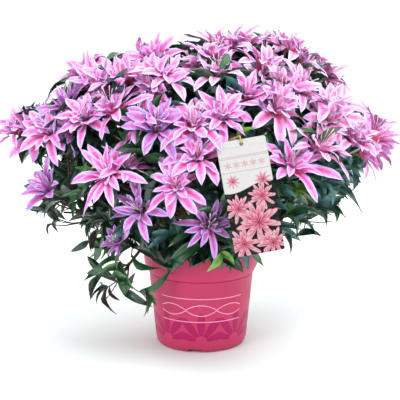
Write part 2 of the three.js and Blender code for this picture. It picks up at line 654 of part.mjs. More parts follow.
// Leafy shoots are tried along a spiral about the mass's axis until enough of them fit.
function growShoots(mass, taken) {
  const shoots = [];
  for (let k = 0; k < SHOOT.tries && shoots.length < mass.shoots; k++) {
    const shoot = planShoot(mass, k);
    const neck = shoot.from.clone().lerp(shoot.to, 0.2);
    if (!inSpace(mass, shoot.to, TWIG.root + CELL_MARGIN)
      || !clearOfLimbs(mass, shoot.from, shoot.to, TWIG.root)
      || touches(taken, null, neck, shoot.to, SHOOT.apart)) continue;
    shoots.push(shoot);
    taken.push({ from: neck, to: shoot.to, radius: TWIG.root, twig: shoot });
  }
  return shoots;
}

// Grows each mass: its stem, flowering twigs with a bloom each, and leafy shoots.
for (const mass of masses) {
  const stemStart = mass.tip.clone().addScaledVector(mass.stemWay, GAP);
  const solids = [solid(rod(stemStart, mass.stemEnd, STEM.root, STEM.tip, STEM.sides))];
  const taken = [];
  const blooms = mass.bloomTwigs.filter(
    (twig) => twig === hanger || clearOfLimbs(mass, twig.from, twig.to, TWIG.root));
  blooms.forEach((bloom, k) => {
    bloom.rim = bloomRim(mass, bloom, k);
    solids.push(solid(rod(bloom.from, bloom.to, TWIG.root, TWIG.tip, TWIG.sides)));
    solids.push(solid(bloomShape(bloom)));
    taken.push({ from: bloom.from, to: bloom.to, radius: TWIG.root, twig: bloom });
    for (let tip = 0; tip < bloom.rim.length; tip += 2) {
      taken.push({ from: bloom.centre, to: bloom.rim[tip], radius: BLOOM.depth });
    }
  });
  const shoots = growShoots(mass, taken);
  for (const { from, to } of shoots) {
    solids.push(solid(rod(from, to, TWIG.root, TWIG.tip, TWIG.sides)));
  }
  blooms.forEach((bloom, k) => {
    bloom.to = bloom.from.clone().lerp(bloom.to, LEAVES_UNDER_BLOOM.height);
    addLeaves(mass, solids, taken, bloom, LEAVES_UNDER_BLOOM.count, 60, k);
  });
  shoots.forEach((shoot, k) => {
    addLeaves(mass, solids, taken, shoot, LEAVES_PER_SHOOT, 15, blooms.length + k);
  });
  addPart(`foliage_${mass.name}`, geometryOf(fuse(solids)), mass.blooms > 1 ? BLOSSOM : FOLIAGE);
}

export default group;
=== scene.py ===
"""An azalea shrub in full bloom, in its pink nursery pot, with a plant label hanging in it."""
import math
from types import SimpleNamespace

import bmesh
import bpy
import numpy as np
from mathutils import Matrix, Vector, noise


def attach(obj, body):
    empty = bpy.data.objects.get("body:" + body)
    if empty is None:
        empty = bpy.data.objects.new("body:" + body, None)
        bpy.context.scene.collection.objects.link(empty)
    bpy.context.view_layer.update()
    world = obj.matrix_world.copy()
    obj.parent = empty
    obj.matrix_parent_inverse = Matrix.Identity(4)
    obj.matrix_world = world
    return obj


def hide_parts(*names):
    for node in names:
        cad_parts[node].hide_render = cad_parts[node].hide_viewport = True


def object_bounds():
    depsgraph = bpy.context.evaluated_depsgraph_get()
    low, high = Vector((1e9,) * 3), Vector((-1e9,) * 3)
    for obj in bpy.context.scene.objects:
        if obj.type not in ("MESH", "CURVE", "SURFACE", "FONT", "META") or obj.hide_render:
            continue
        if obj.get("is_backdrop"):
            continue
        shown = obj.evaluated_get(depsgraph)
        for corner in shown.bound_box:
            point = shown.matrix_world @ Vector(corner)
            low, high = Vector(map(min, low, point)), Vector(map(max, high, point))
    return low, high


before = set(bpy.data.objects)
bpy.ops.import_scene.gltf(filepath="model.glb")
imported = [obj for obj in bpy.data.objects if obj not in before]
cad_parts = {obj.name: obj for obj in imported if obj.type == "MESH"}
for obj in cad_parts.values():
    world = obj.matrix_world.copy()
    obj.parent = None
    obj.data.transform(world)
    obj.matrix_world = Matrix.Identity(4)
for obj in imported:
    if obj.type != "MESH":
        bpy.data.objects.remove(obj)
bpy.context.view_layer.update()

# Pot: a thin tub of pink polypropylene, injection moulded in one piece, with a crease where its
# deep rim band swells out, and four drainage notches under its foot. A plain print is on it: two
# pale lines with a chain of petals between them at the front, and fans of petals round the foot.
POT_WALL = [  # radius, height in millimetres, from the middle of the floor outside to inside
    (0, 1.2), (53, 1.2), (56, 0), (60, 0), (63.2, 1.1), (65.6, 4.3), (67.4, 11), (77.2, 108.6),
    (76.3, 109.1), (76.3, 109.9), (78.3, 110.4), (80.3, 113.4), (82.4, 117.6), (84.1, 122.6),
    (84.9, 128.6), (85, 146.8), (84.5, 148.3), (83.3, 148.9), (82.4, 147.9), (82.2, 130), (80, 118),
    (74.8, 108), (65.2, 14), (55, 3), (0, 3)]
POT_STEPS, POT_SHARP_ANGLE = 144, 24
NOTCHES, NOTCH_TURN = 4, -98.5
NOTCH = (58.6, 76.6, 19, 5.6, 1.2)  # from and to which radius, width, height, rounding
SLOT = (42, 60, 17, 2.3, 0.4)  # the same, for the drain hole that leads in from it
PRINT_LINES, PRINT_LINE_HALF = (0.0839, 0.0486), 0.0006  # the print is in metres
PRINT_REACH = 0.88  # how far round from the front the lines go, in radians
CHAIN_HEIGHT, CHAIN_HALF, CHAIN_LINKS, CHAIN_ROUNDNESS = 0.0662, 0.0082, 5.0, 0.8
CHAIN_LINE_HALF = 1.1 * PRINT_LINE_HALF
FANS, FAN_FOOT, FAN_HEART, FAN_REACH = 8, 0.018, 0.009, 0.044
FAN_PETALS, FAN_ROUNDNESS = 5.0, 0.7
PRINT_RADIUS = 0.067  # the pot's own, where the fans are
WORN_BELOW = 0.33  # the grain under which the print is worn away
POT_PINK, POT_PALER, POT_DUST = (198, 50, 97), (210, 60, 110), (120, 60, 70)
CLOUD_SHARE, DUST_SHARE, DUST_HEIGHT = 0.25, 0.35, 0.02
PRINT_PALE, PRINT_MAGENTA = (250, 170, 200), (176, 4, 90)
POT_ROUGHNESS = (0.36, 0.5)
GRAIN_SPAN = (0.3, 0.7)  # nearly all of the noise lies between these


def tone(red, green, blue):
    """A colour as it looks on a screen, as the shader wants it."""
    return tuple(((c / 255 + 0.055) / 1.055) ** 2.4 if c > 10 else c / 3295
                 for c in (red, green, blue)) + (1.0,)


def start_finish(name, colour, **sockets):
    """A finish with its plain values set. Its surface pattern is added by the caller."""
    finish = bpy.data.materials.new(name)
    finish.use_nodes = True
    shader = finish.node_tree.nodes["Principled BSDF"]
    shader.inputs["Base Color"].default_value = tone(*colour)
    for socket, value in sockets.items():
        shader.inputs[socket.replace("_", " ")].default_value = value
    return finish, finish.node_tree, shader


def node(tree, kind, inputs, **settings):
    """One shader node. An input is a plain value, or another node's output to link to."""
    new = tree.nodes.new(kind)
    for name, value in settings.items():
        setattr(new, name, value)
    for socket, value in inputs.items():
        if isinstance(value, bpy.types.NodeSocket):
            tree.links.new(value, new.inputs[socket])
        else:
            new.inputs[socket].default_value = value
    return new


def calc(tree, operation, *values):
    return node(tree, "ShaderNodeMath", dict(enumerate(values)), operation=operation).outputs[0]


def times(tree, one, other):
    return calc(tree, "MULTIPLY", one, other)


def gap(tree, one, other):
    return calc(tree, "ABSOLUTE", calc(tree, "SUBTRACT", one, other))


def distance(tree, across, up):
    """How far a spot lies from the origin, from its two distances across and up."""
    return calc(tree, "SQRT", calc(tree, "ADD", times(tree, across, across),
                                   times(tree, up, up)))


def ramp(tree, value, low, high, start, end):
    """Goes evenly from its start to its end while a value goes from low to high."""
    return node(tree, "ShaderNodeMapRange", {0: value, 1: low, 2: high, 3: start, 4: end}).outputs[0]


def blend_colour(tree, share, under, over):
    """One colour laid over another by a share from 0 to 1."""
    mixer = node(tree, "ShaderNodeMix", {0: share, 6: under, 7: over}, data_type="RGBA")
    return mixer.outputs[2]


def grain(tree, scale, detail=4, stretch=(1, 1, 1), **settings):
    """Noise over the piece, by its place in the object."""
    place = node(tree, "ShaderNodeTexCoord", {}).outputs["Object"]
    spread = node(tree, "ShaderNodeMapping", {"Vector": place, "Scale": stretch}).outputs[0]
    return node(tree, "ShaderNodeTexNoise", {
        "Vector": spread, "Scale": scale, "Detail": detail}, **settings).outputs["Fac"]


def emboss(tree, shader, height, depth, strength=1.0):
    """Gives the surface a relief of that depth in metres."""
    relief = node(tree, "ShaderNodeBump", {
        "Height": height, "Distance": depth, "Strength": strength})
    tree.links.new(relief.outputs[0], shader.inputs["Normal"])


def speckle(tree, shader, colour, share, change, scale=60, span=(0.35, 0.7)):
    """Varies a plain colour softly over the surface, between itself and a changed one."""
    between = ramp(tree, grain(tree, scale), *span, 0.0, share)
    other = tuple(min(255, max(0, c * change)) for c in colour)
    tree.links.new(blend_colour(tree, between, tone(*colour), tone(*other)),
                   shader.inputs["Base Color"])


def add_object(name, data):
    holder = bpy.data.objects.new(name, data)
    bpy.context.scene.collection.objects.link(holder)
    return holder


def keep(name, mesh, finishes, slot, *nodes, smooth=True):
    """Makes a mesh a piece of the object, which stands for the CAD nodes named."""
    piece = add_object(name, mesh)
    for finish in finishes:
        mesh.materials.append(finish)
    if smooth:
        mesh.shade_smooth()
    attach(piece, "root")
    if nodes:
        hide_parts(*nodes)
    return piece


def turn_on_axis(profile, steps):
    """A closed turned shape about the upright axis from (radius, height) in millimetres."""
    bm = bmesh.new()
    corners = [bm.verts.new((radius / 1000, 0, height / 1000)) for radius, height in profile]
    for pair in zip(corners, corners[1:]):
        bm.edges.new(pair)
    bmesh.ops.spin(bm, geom=bm.verts[:] + bm.edges[:], cent=(0, 0, 0), axis=(0, 0, 1),
                   angle=math.tau, steps=steps, use_merge=True)
    bmesh.ops.remove_doubles(bm, verts=bm.verts[:], dist=1e-6)
    bmesh.ops.recalc_face_normals(bm, faces=bm.faces[:])
    return bm


def make_pot_finish():
    finish, tree, shader = start_finish("moulded_pink", POT_PINK, Roughness=0.42,
                                        Specular_IOR_Level=0.35)
    place = node(tree, "ShaderNodeTexCoord", {}).outputs["Object"]
    x, y, z = node(tree, "ShaderNodeSeparateXYZ", {0: place}).outputs
    turn = calc(tree, "ARCTAN2", x, times(tree, y, -1.0))
    on_front = calc(tree, "LESS_THAN", calc(tree, "ABSOLUTE", turn), PRINT_REACH)
    # the two lines
    near = calc(tree, "MINIMUM", *(gap(tree, z, height) for height in PRINT_LINES))
    lines = calc(tree, "LESS_THAN", near, PRINT_LINE_HALF)
    # the chain of petal outlines between them
    link = calc(tree, "COSINE", times(tree, turn, CHAIN_LINKS))
    rounded = calc(tree, "POWER", calc(tree, "ABSOLUTE", link), CHAIN_ROUNDNESS)
    edge = times(tree, rounded, CHAIN_HALF)
    chain = calc(tree, "LESS_THAN", gap(tree, gap(tree, z, CHAIN_HEIGHT), edge), CHAIN_LINE_HALF)
    pale = times(tree, calc(tree, "MAXIMUM", lines, chain), on_front)
    # the fans of petals round the foot
    cell = math.tau / FANS
    within = calc(tree, "FLOORED_MODULO", calc(tree, "ADD", turn, cell / 2), cell)
    aside = times(tree, calc(tree, "SUBTRACT", within, cell / 2), PRINT_RADIUS)
    above = calc(tree, "SUBTRACT", z, FAN_FOOT)
    reach = distance(tree, aside, above)
    bearing = calc(tree, "ARCTAN2", aside, above)
    lobe = calc(tree, "ABSOLUTE", calc(tree, "COSINE", times(tree, bearing, FAN_PETALS)))
    petal = times(tree, calc(tree, "POWER", lobe, FAN_ROUNDNESS), FAN_REACH)
    fan = times(tree, calc(tree, "LESS_THAN", reach, petal), calc(
        tree, "GREATER_THAN", reach, FAN_HEART))
    fan = times(tree, fan, calc(tree, "GREATER_THAN", above, 0.0))
    # the clouded plastic, dust at its foot, and the two inks, a little worn
    holds = calc(tree, "GREATER_THAN", grain(tree, 900, 2), WORN_BELOW)
    cloud = ramp(tree, grain(tree, 18), *GRAIN_SPAN, 0.0, CLOUD_SHARE)
    colour = blend_colour(tree, cloud, tone(*POT_PINK), tone(*POT_PALER))
    dusty = ramp(tree, z, 0.0, DUST_HEIGHT, DUST_SHARE, 0.0)
    colour = blend_colour(tree, times(tree, dusty, grain(tree, 140)), colour, tone(*POT_DUST))
    for printed, ink in ((fan, PRINT_MAGENTA), (pale, PRINT_PALE)):
        colour = blend_colour(tree, times(tree, printed, holds), colour, tone(*ink))
    tree.links.new(colour, shader.inputs["Base Color"])
    rough = ramp(tree, grain(tree, 45), *GRAIN_SPAN, *POT_ROUGHNESS)
    tree.links.new(rough, shader.inputs["Roughness"])
    emboss(tree, shader, grain(tree, 1100, 2), 0.0001, 0.35)
    return finish


def as_mesh(name, bm):
    mesh = bpy.data.meshes.new(name)
    bm.to_mesh(mesh)
    bm.free()
    return mesh


def finished_mesh(holder):
    """An object's mesh, with its modifiers or its curve's thickness worked in."""
    bpy.context.view_layer.update()
    depsgraph = bpy.context.evaluated_depsgraph_get()
    return bpy.data.meshes.new_from_object(holder.evaluated_get(depsgraph))


def cut_out(bm, cutter_bm):
    """Takes one shape out of another, and gives the mesh that is left."""
    body, cutter = (add_object("cut", as_mesh("cut", shape)) for shape in (bm, cutter_bm))
    cut = body.modifiers.new("cut", "BOOLEAN")
    cut.operation, cut.object, cut.solver = "DIFFERENCE", cutter, "EXACT"
    mesh = finished_mesh(body)
    bpy.data.objects.remove(body)
    bpy.data.objects.remove(cutter)
    return mesh


def notch_boxes(near, far, width, height, edge):
    """The notches as boxes with rounded edges, each from one radius out to another."""
    bm = bmesh.new()
    for k in range(NOTCHES):
        box = bmesh.ops.create_cube(bm, size=1.0)["verts"]
        size = Matrix.Diagonal((far - near, width, height * 2, 1))
        middle = Matrix.Translation(((near + far) / 2, 0, 0))
        turned = Matrix.Rotation(math.radians(NOTCH_TURN + k * 360 / NOTCHES), 4, "Z")
        bmesh.ops.transform(bm, verts=box, matrix=Matrix.Scale(0.001, 4) @ turned @ middle @ size)
    bmesh.ops.bevel(bm, geom=bm.edges[:], offset=edge / 1000, segments=3, profile=0.5, affect="EDGES",
                    material=-1)
    return bm


pot_mesh = cut_out(turn_on_axis(POT_WALL, POT_STEPS), notch_boxes(*NOTCH))
pot_bm = bmesh.new()
pot_bm.from_mesh(pot_mesh)
pot = keep("nursery_pot", cut_out(pot_bm, notch_boxes(*SLOT)), [make_pot_finish()], "pot", "pot")
pot.data.set_sharp_from_angle(angle=math.radians(POT_SHARP_ANGLE))

# Compost: peat based potting compost that fills the pot, pressed down by hand to some 13 mm below
# the rim. Crumbs and bits of bark lie loose on its raked top.
COMPOST_TOP, COMPOST_RADIUS, COMPOST_BROWN = 136.2, 81, (54, 38, 28)
COMPOST_FALL, COMPOST_EDGE = 1.2, 82  # its top is that much lower at that radius
CRUMBS, CRUMB_SIZE, CRUMB_SINK, CRUMB_FLATNESS, CRUMB_SALT = 900, (0.8, 3.4), 0.3, 0.6, 90
CRUMB_LUMPS, CRUMB_LUMP_SCALE = 0.35, 1.7


def make_compost_finish():
    finish, tree, shader = start_finish("moist_compost", COMPOST_BROWN, Roughness=0.95)
    speckle(tree, shader, COMPOST_BROWN, 1.0, 0.45, 260)
    emboss(tree, shader, grain(tree, 420, 6), 0.002)
    return finish


def draw(item, trait, salt):
    """A repeatable number from 0 to 1 for one trait of one numbered item."""
    wave = math.sin(item * 12.9898 + trait * 78.233 + salt * 37.719) * 43758.5453
    return wave - math.floor(wave)


def mix(low, high, share):
    return low + (high - low) * share


def master(bm):
    """A small shape as arrays, to be laid out many times: its points, faces and materials."""
    bm.verts.index_update()
    points = np.array([v.co[:] for v in bm.verts])
    faces = [[v.index for v in f.verts] for f in bm.faces]
    mats = np.array([f.material_index for f in bm.faces])
    bm.free()
    return points, faces, mats


def lay_out(name, shapes, places):
    """One joined mesh of many copies. A place is (which shape, matrix, material it adds)."""
    points, faces, mats, start = [], [], [], 0
    for which, matrix, tint in places:
        own_points, own_faces, own_mats = shapes[which]
        turn = np.array(matrix)
        points.append(own_points @ turn[:3, :3].T + turn[:3, 3])
        faces.extend([[i + start for i in face] for face in own_faces])
        mats.append(own_mats + tint)
        start += len(own_points)
    mesh = bpy.data.meshes.new(name)
    mesh.from_pydata((np.concatenate(points) / 1000).tolist(), [], faces)
    mesh.polygons.foreach_set("material_index", np.concatenate(mats).astype(np.int32))
    return mesh


compost_finish = make_compost_finish()
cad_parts["compost"].data.materials.clear()
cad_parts["compost"].data.materials.append(compost_finish)
crumb_bm = bmesh.new()
bmesh.ops.create_icosphere(crumb_bm, subdivisions=1, radius=1.0)
for v in crumb_bm.verts:
    v.co *= 1 + CRUMB_LUMPS * noise.noise(v.co * CRUMB_LUMP_SCALE)
crumb = master(crumb_bm)
crumb_places = []
for k in range(CRUMBS):
    out = COMPOST_RADIUS * math.sqrt(draw(k, 1, CRUMB_SALT))
    turn = math.tau * draw(k, 2, CRUMB_SALT)
    size = mix(*CRUMB_SIZE, draw(k, 3, CRUMB_SALT) ** 3)
    height = COMPOST_TOP - CRUMB_SINK - COMPOST_FALL * out / COMPOST_EDGE
    spot = Vector((out * math.cos(turn), out * math.sin(turn), height))
    flat = Matrix.Diagonal((size * mix(1, 2, draw(k, 5, CRUMB_SALT)), size, size * CRUMB_FLATNESS, 1))
    turned = Matrix.Rotation(6 * draw(k, 4, CRUMB_SALT), 4, "Z")
    crumb_places.append((0, Matrix.Translation(spot) @ turned @ flat, 0))
keep("compost_crumbs", lay_out("compost_crumbs", [crumb], crumb_places), [compost_finish], "compost")

# Trunk and boughs: a short woody trunk that flares into roots at the compost, and the boughs that
# rise from it or fork from one another, each to one mass of foliage. The bark is young, brown and
# finely ridged. The whole plant is worked out in millimetres by the rule that it grows by.
UP = Vector((0, 0, 1))
TRUNK_FOOT, TRUNK_TOP = Vector((-2, 1, 136.3)), Vector((3, -2, 166))
TRUNK_RADIUS, TRUNK_TOP_RADIUS, TRUNK_RINGS = 11, 8.5, 16
ROOT_FLARE, ROOT_FLARE_FADE, ROOT_LOBES, ROOT_LOBE_DEPTH, ROOT_HEIGHT = 6, 7, 5, 1.8, 12
MAIN_ROOT_RADIUS, SIDE_ROOT_RADIUS, BOUGH_TIP_RADIUS, BOUGH_RINGS = 4.8, 3.5, 2.4, 22
LIMB_TAPER, CURVE_STEPS = 0.8, 40
BOUGH_SHOULDER, BOUGH_WANDER, BOUGH_WANDER_SCALE, BOUGH_WANDER_SEED = 0.42, 5, 0.03, 1
RIDGE_DEPTH, RIDGES_ACROSS, RIDGES_ALONG = 0.55, 0.5, 0.12
BARK_BROWN = (122, 88, 62)
BOUGH_REACH, STEM_REACH, LOWEST_TIP_TILT = 0.5, 0.78, -20
LOWEST_MAIN, MAIN_STEP, HIGHEST_MAIN = 0.45, 0.25, 0.95  # where main boughs leave the trunk
FIRST_FORK, FORK_STEP = 0.3, 0.11  # where side boughs leave a main one
CROWN_CENTRE = Vector((0, 0, 190))
CROWN_RADII, CROWN_FULLNESS = Vector((300, 248, 254)), 2.6
SWELLS = [(0, 70, 0.1, 22), (0, 38, -0.08, 60), (180, 32, 0.06, 40)]  # turn, tilt, rise, narrowness
DROOP_SHARE, DROOP_RIGHT, DROOP_FROM, DROOP_LATER, DROOP_OVER = 0.35, 0.05, 27, 3, 45
CORE = 0.42  # the share of the crown's reach that is bare inside
SKIRT_RADIUS, SKIRT_OVER_POT, SKIRT_RIM, SKIRT_RISE = 96, 152, 146, 0.23
SKIRT_LEFT, SKIRT_RIGHT = (95, 1.12), (8, 0.7)  # how much lower it starts, and its rise
SPRIG_HANG = 75  # how far below the skirt the hanging sprig reaches
GOLDEN_TURN = 137.5
SHOOTS = 25
AIRY = ("sprig_left", "sprig_hanging", "sprig_right", "skirt_left", "skirt_right")
HALF = [  # name, turn, tilt, blooms, the spin and pitch of their spiral, main bough
    ("tip_left", -158, 27, 3, 40, 10, False), ("high_left", -147, 42, 3, 198, 6, True),
    ("crest_left", -130, 53, 3, 139, 8, False), ("low_left", -109, 19, 3, 242, 8.5, True),
    ("middle", -98, 39, 3, 32, 6, False), ("crest_middle", -74, 54, 3, 326, 7, False),
    ("crest_right", -44, 54, 3, 309, 8, True), ("low_right", -50, 27, 2, 45, 6, True),
    ("tip_right", -25, 31, 3, 199, 7, False)]
LONE_MASSES = [  # the same for the crown's top and foot, and how many leafy shoots
    ("top", -20, 80, 3, 262, 8, False, 12), ("skirt_left", -130, 0, 1, 0, 7, False, 11),
    ("skirt_front", -86, 1, 1, 98, 12, False, 20), ("skirt_right", -46, 1, 0, 0, 7, False, 15),
    ("sprig_left", -174, 3, 0, 0, 7, False, 8), ("sprig_hanging", -152, -30, 0, 0, 7, False, 3),
    ("sprig_right", -12, 4, 0, 0, 7, False, 9), ("skirt_back_right", 48, 0, 1, 30, 9, False, 13),
    ("skirt_back_left", 118, 0, 1, 60, 9, False, 10)]


def direction(turn, tilt):
    turn, tilt = math.radians(turn), math.radians(tilt)
    return Vector((math.cos(tilt) * math.cos(turn), math.cos(tilt) * math.sin(turn), math.sin(tilt)))


def lean(axis, bearing, angle):
    """Turns an axis by an angle away from itself, towards a bearing around it."""
    bearing, angle = math.radians(bearing), math.radians(angle)
    side = UP.cross(axis).normalized()
    rise = axis.cross(side)
    return (axis * math.cos(angle) + side * (math.sin(angle) * math.cos(bearing))
            + rise * (math.sin(angle) * math.sin(bearing)))


def clamped(value):
    """A value kept between 0 and 1."""
    return min(1, max(0, value))


def crown_reach(way):
    """How far the crown reaches from its centre along a direction."""
    tilt = math.degrees(math.asin(max(-1, min(1, way.z))))
    below = clamped((DROOP_FROM + DROOP_LATER * way.x - tilt) / DROOP_OVER)
    droop = 1 - (DROOP_SHARE + DROOP_RIGHT * way.x) * below * below * (3 - 2 * below)
    swell = 1 + sum(rise * max(0, way.dot(direction(turn, tilt))) ** narrow
                    for turn, tilt, rise, narrow in SWELLS)
    flat, high = math.hypot(way.x / CROWN_RADII.x, way.y / CROWN_RADII.y), abs(way.z) / CROWN_RADII.z
    return droop * swell / (flat ** CROWN_FULLNESS + high ** CROWN_FULLNESS) ** (1 / CROWN_FULLNESS)


def skirt_height(spot):
    """The lowest height at which foliage hangs over a spot beside the pot."""
    out = math.hypot(spot.x, spot.y)
    if out < SKIRT_RADIUS:
        return SKIRT_OVER_POT
    drop, rise = SKIRT_LEFT if spot.x < 0 else SKIRT_RIGHT
    share = abs(spot.x / out) ** 3
    return SKIRT_RIM - drop * share + mix(SKIRT_RISE, rise, share) * (out - SKIRT_RADIUS)


def bend_through(start, middle, end):
    """A smooth curve in even steps, as a function from a share of its length to a spot."""
    shares = [k / CURVE_STEPS for k in range(CURVE_STEPS + 1)]
    spots = [start.lerp(middle, s).lerp(middle.lerp(end, s), s) for s in shares]
    lengths = np.concatenate([[0], np.cumsum([(b - a).length for a, b in zip(spots, spots[1:])])])
    table = np.array(spots)
    return lambda share: Vector([float(np.interp(share * lengths[-1], lengths, table[:, i]))
                                 for i in range(3)])


masses = []
for row in ([("front_" + n, t, *rest, SHOOTS) for n, t, *rest in HALF]
            + [("back_" + n, t + 180, *rest, SHOOTS) for n, t, *rest in HALF] + LONE_MASSES):
    name, turn, tilt, blooms, spin, pitch, main, shoots = row
    mass = SimpleNamespace(name=name, way=direction(turn, tilt), blooms=blooms, spin=spin,
                           pitch=pitch, main=main, shoots=shoots, salt=len(masses), forks=0)
    tip_way = direction(turn, max(tilt, LOWEST_TIP_TILT))
    mass.tip = CROWN_CENTRE + tip_way * crown_reach(tip_way) * BOUGH_REACH
    mass.hang = SPRIG_HANG if name == "sprig_hanging" else 0
    mass.airy = name in AIRY
    mass.stem_end = CROWN_CENTRE + mass.way * crown_reach(mass.way) * STEM_REACH
    mass.stem_way = (mass.stem_end - mass.tip).normalized()
    masses.append(mass)


def grow_bough(mass, root, radius):
    shoulder = mass.tip - mass.stem_way * ((root - mass.tip).length * BOUGH_SHOULDER)
    mass.bough = bend_through(root, shoulder, mass.tip)
    mass.root_radius = radius


trunk_middle = Vector((TRUNK_FOOT.x - 1, TRUNK_FOOT.y, (TRUNK_FOOT.z + TRUNK_TOP.z) / 2))
trunk_line = bend_through(TRUNK_FOOT, trunk_middle, TRUNK_TOP)
mains = [mass for mass in masses if mass.main]
for k, mass in enumerate(mains):
    grow_bough(mass, trunk_line(min(LOWEST_MAIN + MAIN_STEP * (k % 3), HIGHEST_MAIN)), MAIN_ROOT_RADIUS)
for mass in masses:
    if not mass.main:
        parent = max(mains, key=lambda each: each.way.dot(mass.way))
        grow_bough(mass, parent.bough(FIRST_FORK + FORK_STEP * parent.forks), SIDE_ROOT_RADIUS)
        parent.forks += 1


def tubes(name, strands, roundness):
    """Tapered round rods, each from its spots and their radii in millimetres, as one mesh."""
    line = bpy.data.curves.new(name, "CURVE")
    line.dimensions = "3D"
    line.bevel_depth, line.bevel_resolution, line.use_fill_caps = 0.001, roundness, True
    for spots, radii in strands:
        spline = line.splines.new("POLY")
        spline.points.add(len(spots) - 1)
        for point, spot, radius in zip(spline.points, spots, radii):
            point.co = (*(spot / 1000), 1)
            point.radius = radius
    holder = add_object(name, line)
    mesh = finished_mesh(holder)
    bpy.data.objects.remove(holder)
    mesh.materials.clear()
    return mesh


def make_bark_finish(name, colour, ridges):
    finish, tree, shader = start_finish(name, colour, Roughness=0.85)
    speckle(tree, shader, colour, 1.0, 0.5, 130)
    emboss(tree, shader, grain(tree, ridges, 6, stretch=(1, 1, 0.35)), 0.0012)
    return finish


steps = [k / TRUNK_RINGS for k in range(TRUNK_RINGS + 1)]
trunk_radii = [mix(TRUNK_RADIUS, TRUNK_TOP_RADIUS, s ** LIMB_TAPER)
               + ROOT_FLARE * math.exp(-ROOT_FLARE_FADE * s) for s in steps]
limb_strands = [([trunk_line(s) for s in steps], trunk_radii)]
steps = [k / BOUGH_RINGS for k in range(BOUGH_RINGS + 1)]
noise.seed_set(BOUGH_WANDER_SEED)  # or else Blender seeds noise_vector from the clock
for mass in masses:
    spots = [mass.bough(s) for s in steps]
    spots = [spot + Vector(noise.noise_vector(spot * BOUGH_WANDER_SCALE))
             * (BOUGH_WANDER * math.sin(math.pi * s)) for spot, s in zip(spots, steps)]
    radii = [mix(mass.root_radius, BOUGH_TIP_RADIUS, s ** LIMB_TAPER) for s in steps]
    limb_strands.append((spots, radii))
limbs_mesh = tubes("woody_limbs", limb_strands, 5)
root_top = TRUNK_FOOT.z + ROOT_HEIGHT
for v in limbs_mesh.vertices:
    spot = v.co * 1000
    ridge = noise.noise(Vector((spot.x * RIDGES_ACROSS, spot.y * RIDGES_ACROSS, spot.z * RIDGES_ALONG)))
    lobe = 0.0
    if spot.z < root_top:
        around = math.atan2(spot.y - TRUNK_FOOT.y, spot.x - TRUNK_FOOT.x)
        lobe = ROOT_LOBE_DEPTH * math.cos(ROOT_LOBES * around) * (root_top - spot.z) / ROOT_HEIGHT
    outward = Vector((v.normal.x, v.normal.y, v.normal.z * 0.3))
    v.co += outward * (RIDGE_DEPTH * ridge + lobe) / 1000
bark = make_bark_finish("young_bark", BARK_BROWN, 420)
keep("woody_limbs", limbs_mesh, [bark], "bark", "trunk", *(f"bough_{m.name}" for m in masses))

# Twigs: thin, wiry, reddish brown wood. Each mass goes on from its bough's tip in one stem, from
# which its flowering twigs and leafy shoots branch. The shoots carry short side twigs.
# The label's size, place and turn, and how far foliage keeps from it.
CARD_WIDTH, CARD_HEIGHT, CARD_CENTRE = 65, 150, Vector((63.6, -235, 270.2))
CARD_LEAN, CARD_ROLL = 78.5, 10
CARD_TURN = (Matrix.Rotation(math.radians(CARD_LEAN), 3, "X")
             @ Matrix.Rotation(math.radians(CARD_ROLL), 3, "Z"))
CARD_RIGHT, CARD_UP, CARD_NORMAL = (Vector(column) for column in CARD_TURN.col)
CARD_CLEARANCE = 4
CROWN_SLACK = 1.03  # the share of the crown's reach that foliage keeps within
STEM_RADII, BLOOM_TWIG_RADIUS, SHOOT_RADIUS, TWIGLET_RADIUS = (2.4, 1.5), 1.7, 1.5, 1.0
TWIG_TAPER, TWIG_SHOULDER, UPTURN = 0.6, 0.45, 0.35
BLOOM_SINK, BLOOM_LEAN, BLOOM_NECK = 20, 22, 14
BLOOM_FORK, BLOOM_FORK_SPAN = 0.45, 0.5  # from where on the stem, over how much of it
SHOOT_FORK, SHOOT_FORK_SPAN = 0.2, 0.6  # the same for a leafy shoot
SHOOT_SPIN, SHOOT_PITCH, SHOOT_NEAR, SHOOT_FAR, SHOOT_TRIES = 70, 6, 0.56, 0.9, 60
TWIGLETS, AIRY_TWIGLETS, TWIGLET_ANGLE, TWIGLET_LENGTH = 3, 2, (30, 65), (22, 46)
TWIGLET_FORK, TWIGLET_STEP, TWIGLET_JITTER, TWIGLET_SLACK = 0.35, 0.2, 0.1, 4
# How many leaves a shoot and a side twig carry, and over how much of their length. The airy masses
# have fewer, and a flowering twig has a whorl of its own.
WHORLS, AIRY_WHORLS, BLOOM_WHORL = ((7, 30), (6, 18)), ((5, 8), (4, 6)), (8, 34)
# Leafy shoots that flower after all, by mass.
LATE_BLOOMS = {"front_crest_right": 8, "top": 5, "back_high_left": 7, "front_crest_left": 15,
               "back_crest_right": 13}
TWIG_BROWN = (104, 74, 52)


def hits_card(spot):
    """Whether foliage would lie on the label or in front of it."""
    away = spot - CARD_CENTRE
    return (away.dot(CARD_NORMAL) > -CARD_CLEARANCE
            and abs(away.dot(CARD_RIGHT)) < CARD_WIDTH / 2 + CARD_CLEARANCE
            and abs(away.dot(CARD_UP)) < CARD_HEIGHT / 2 + CARD_CLEARANCE)


def in_space(mass, spot, slack=0.0, below=0.0):
    """Whether a spot lies in a mass's own space, or by the slack outside it."""
    away = spot - CROWN_CENTRE
    own = away.dot(mass.way)
    for other in masses:
        if other is not mass and away.dot(other.way) - own > slack * (other.way - mass.way).length:
            return False
    reach = crown_reach(away.normalized())
    return (CORE * reach < away.length < CROWN_SLACK * reach
            and spot.z > skirt_height(spot) - below - mass.hang and not hits_card(spot))


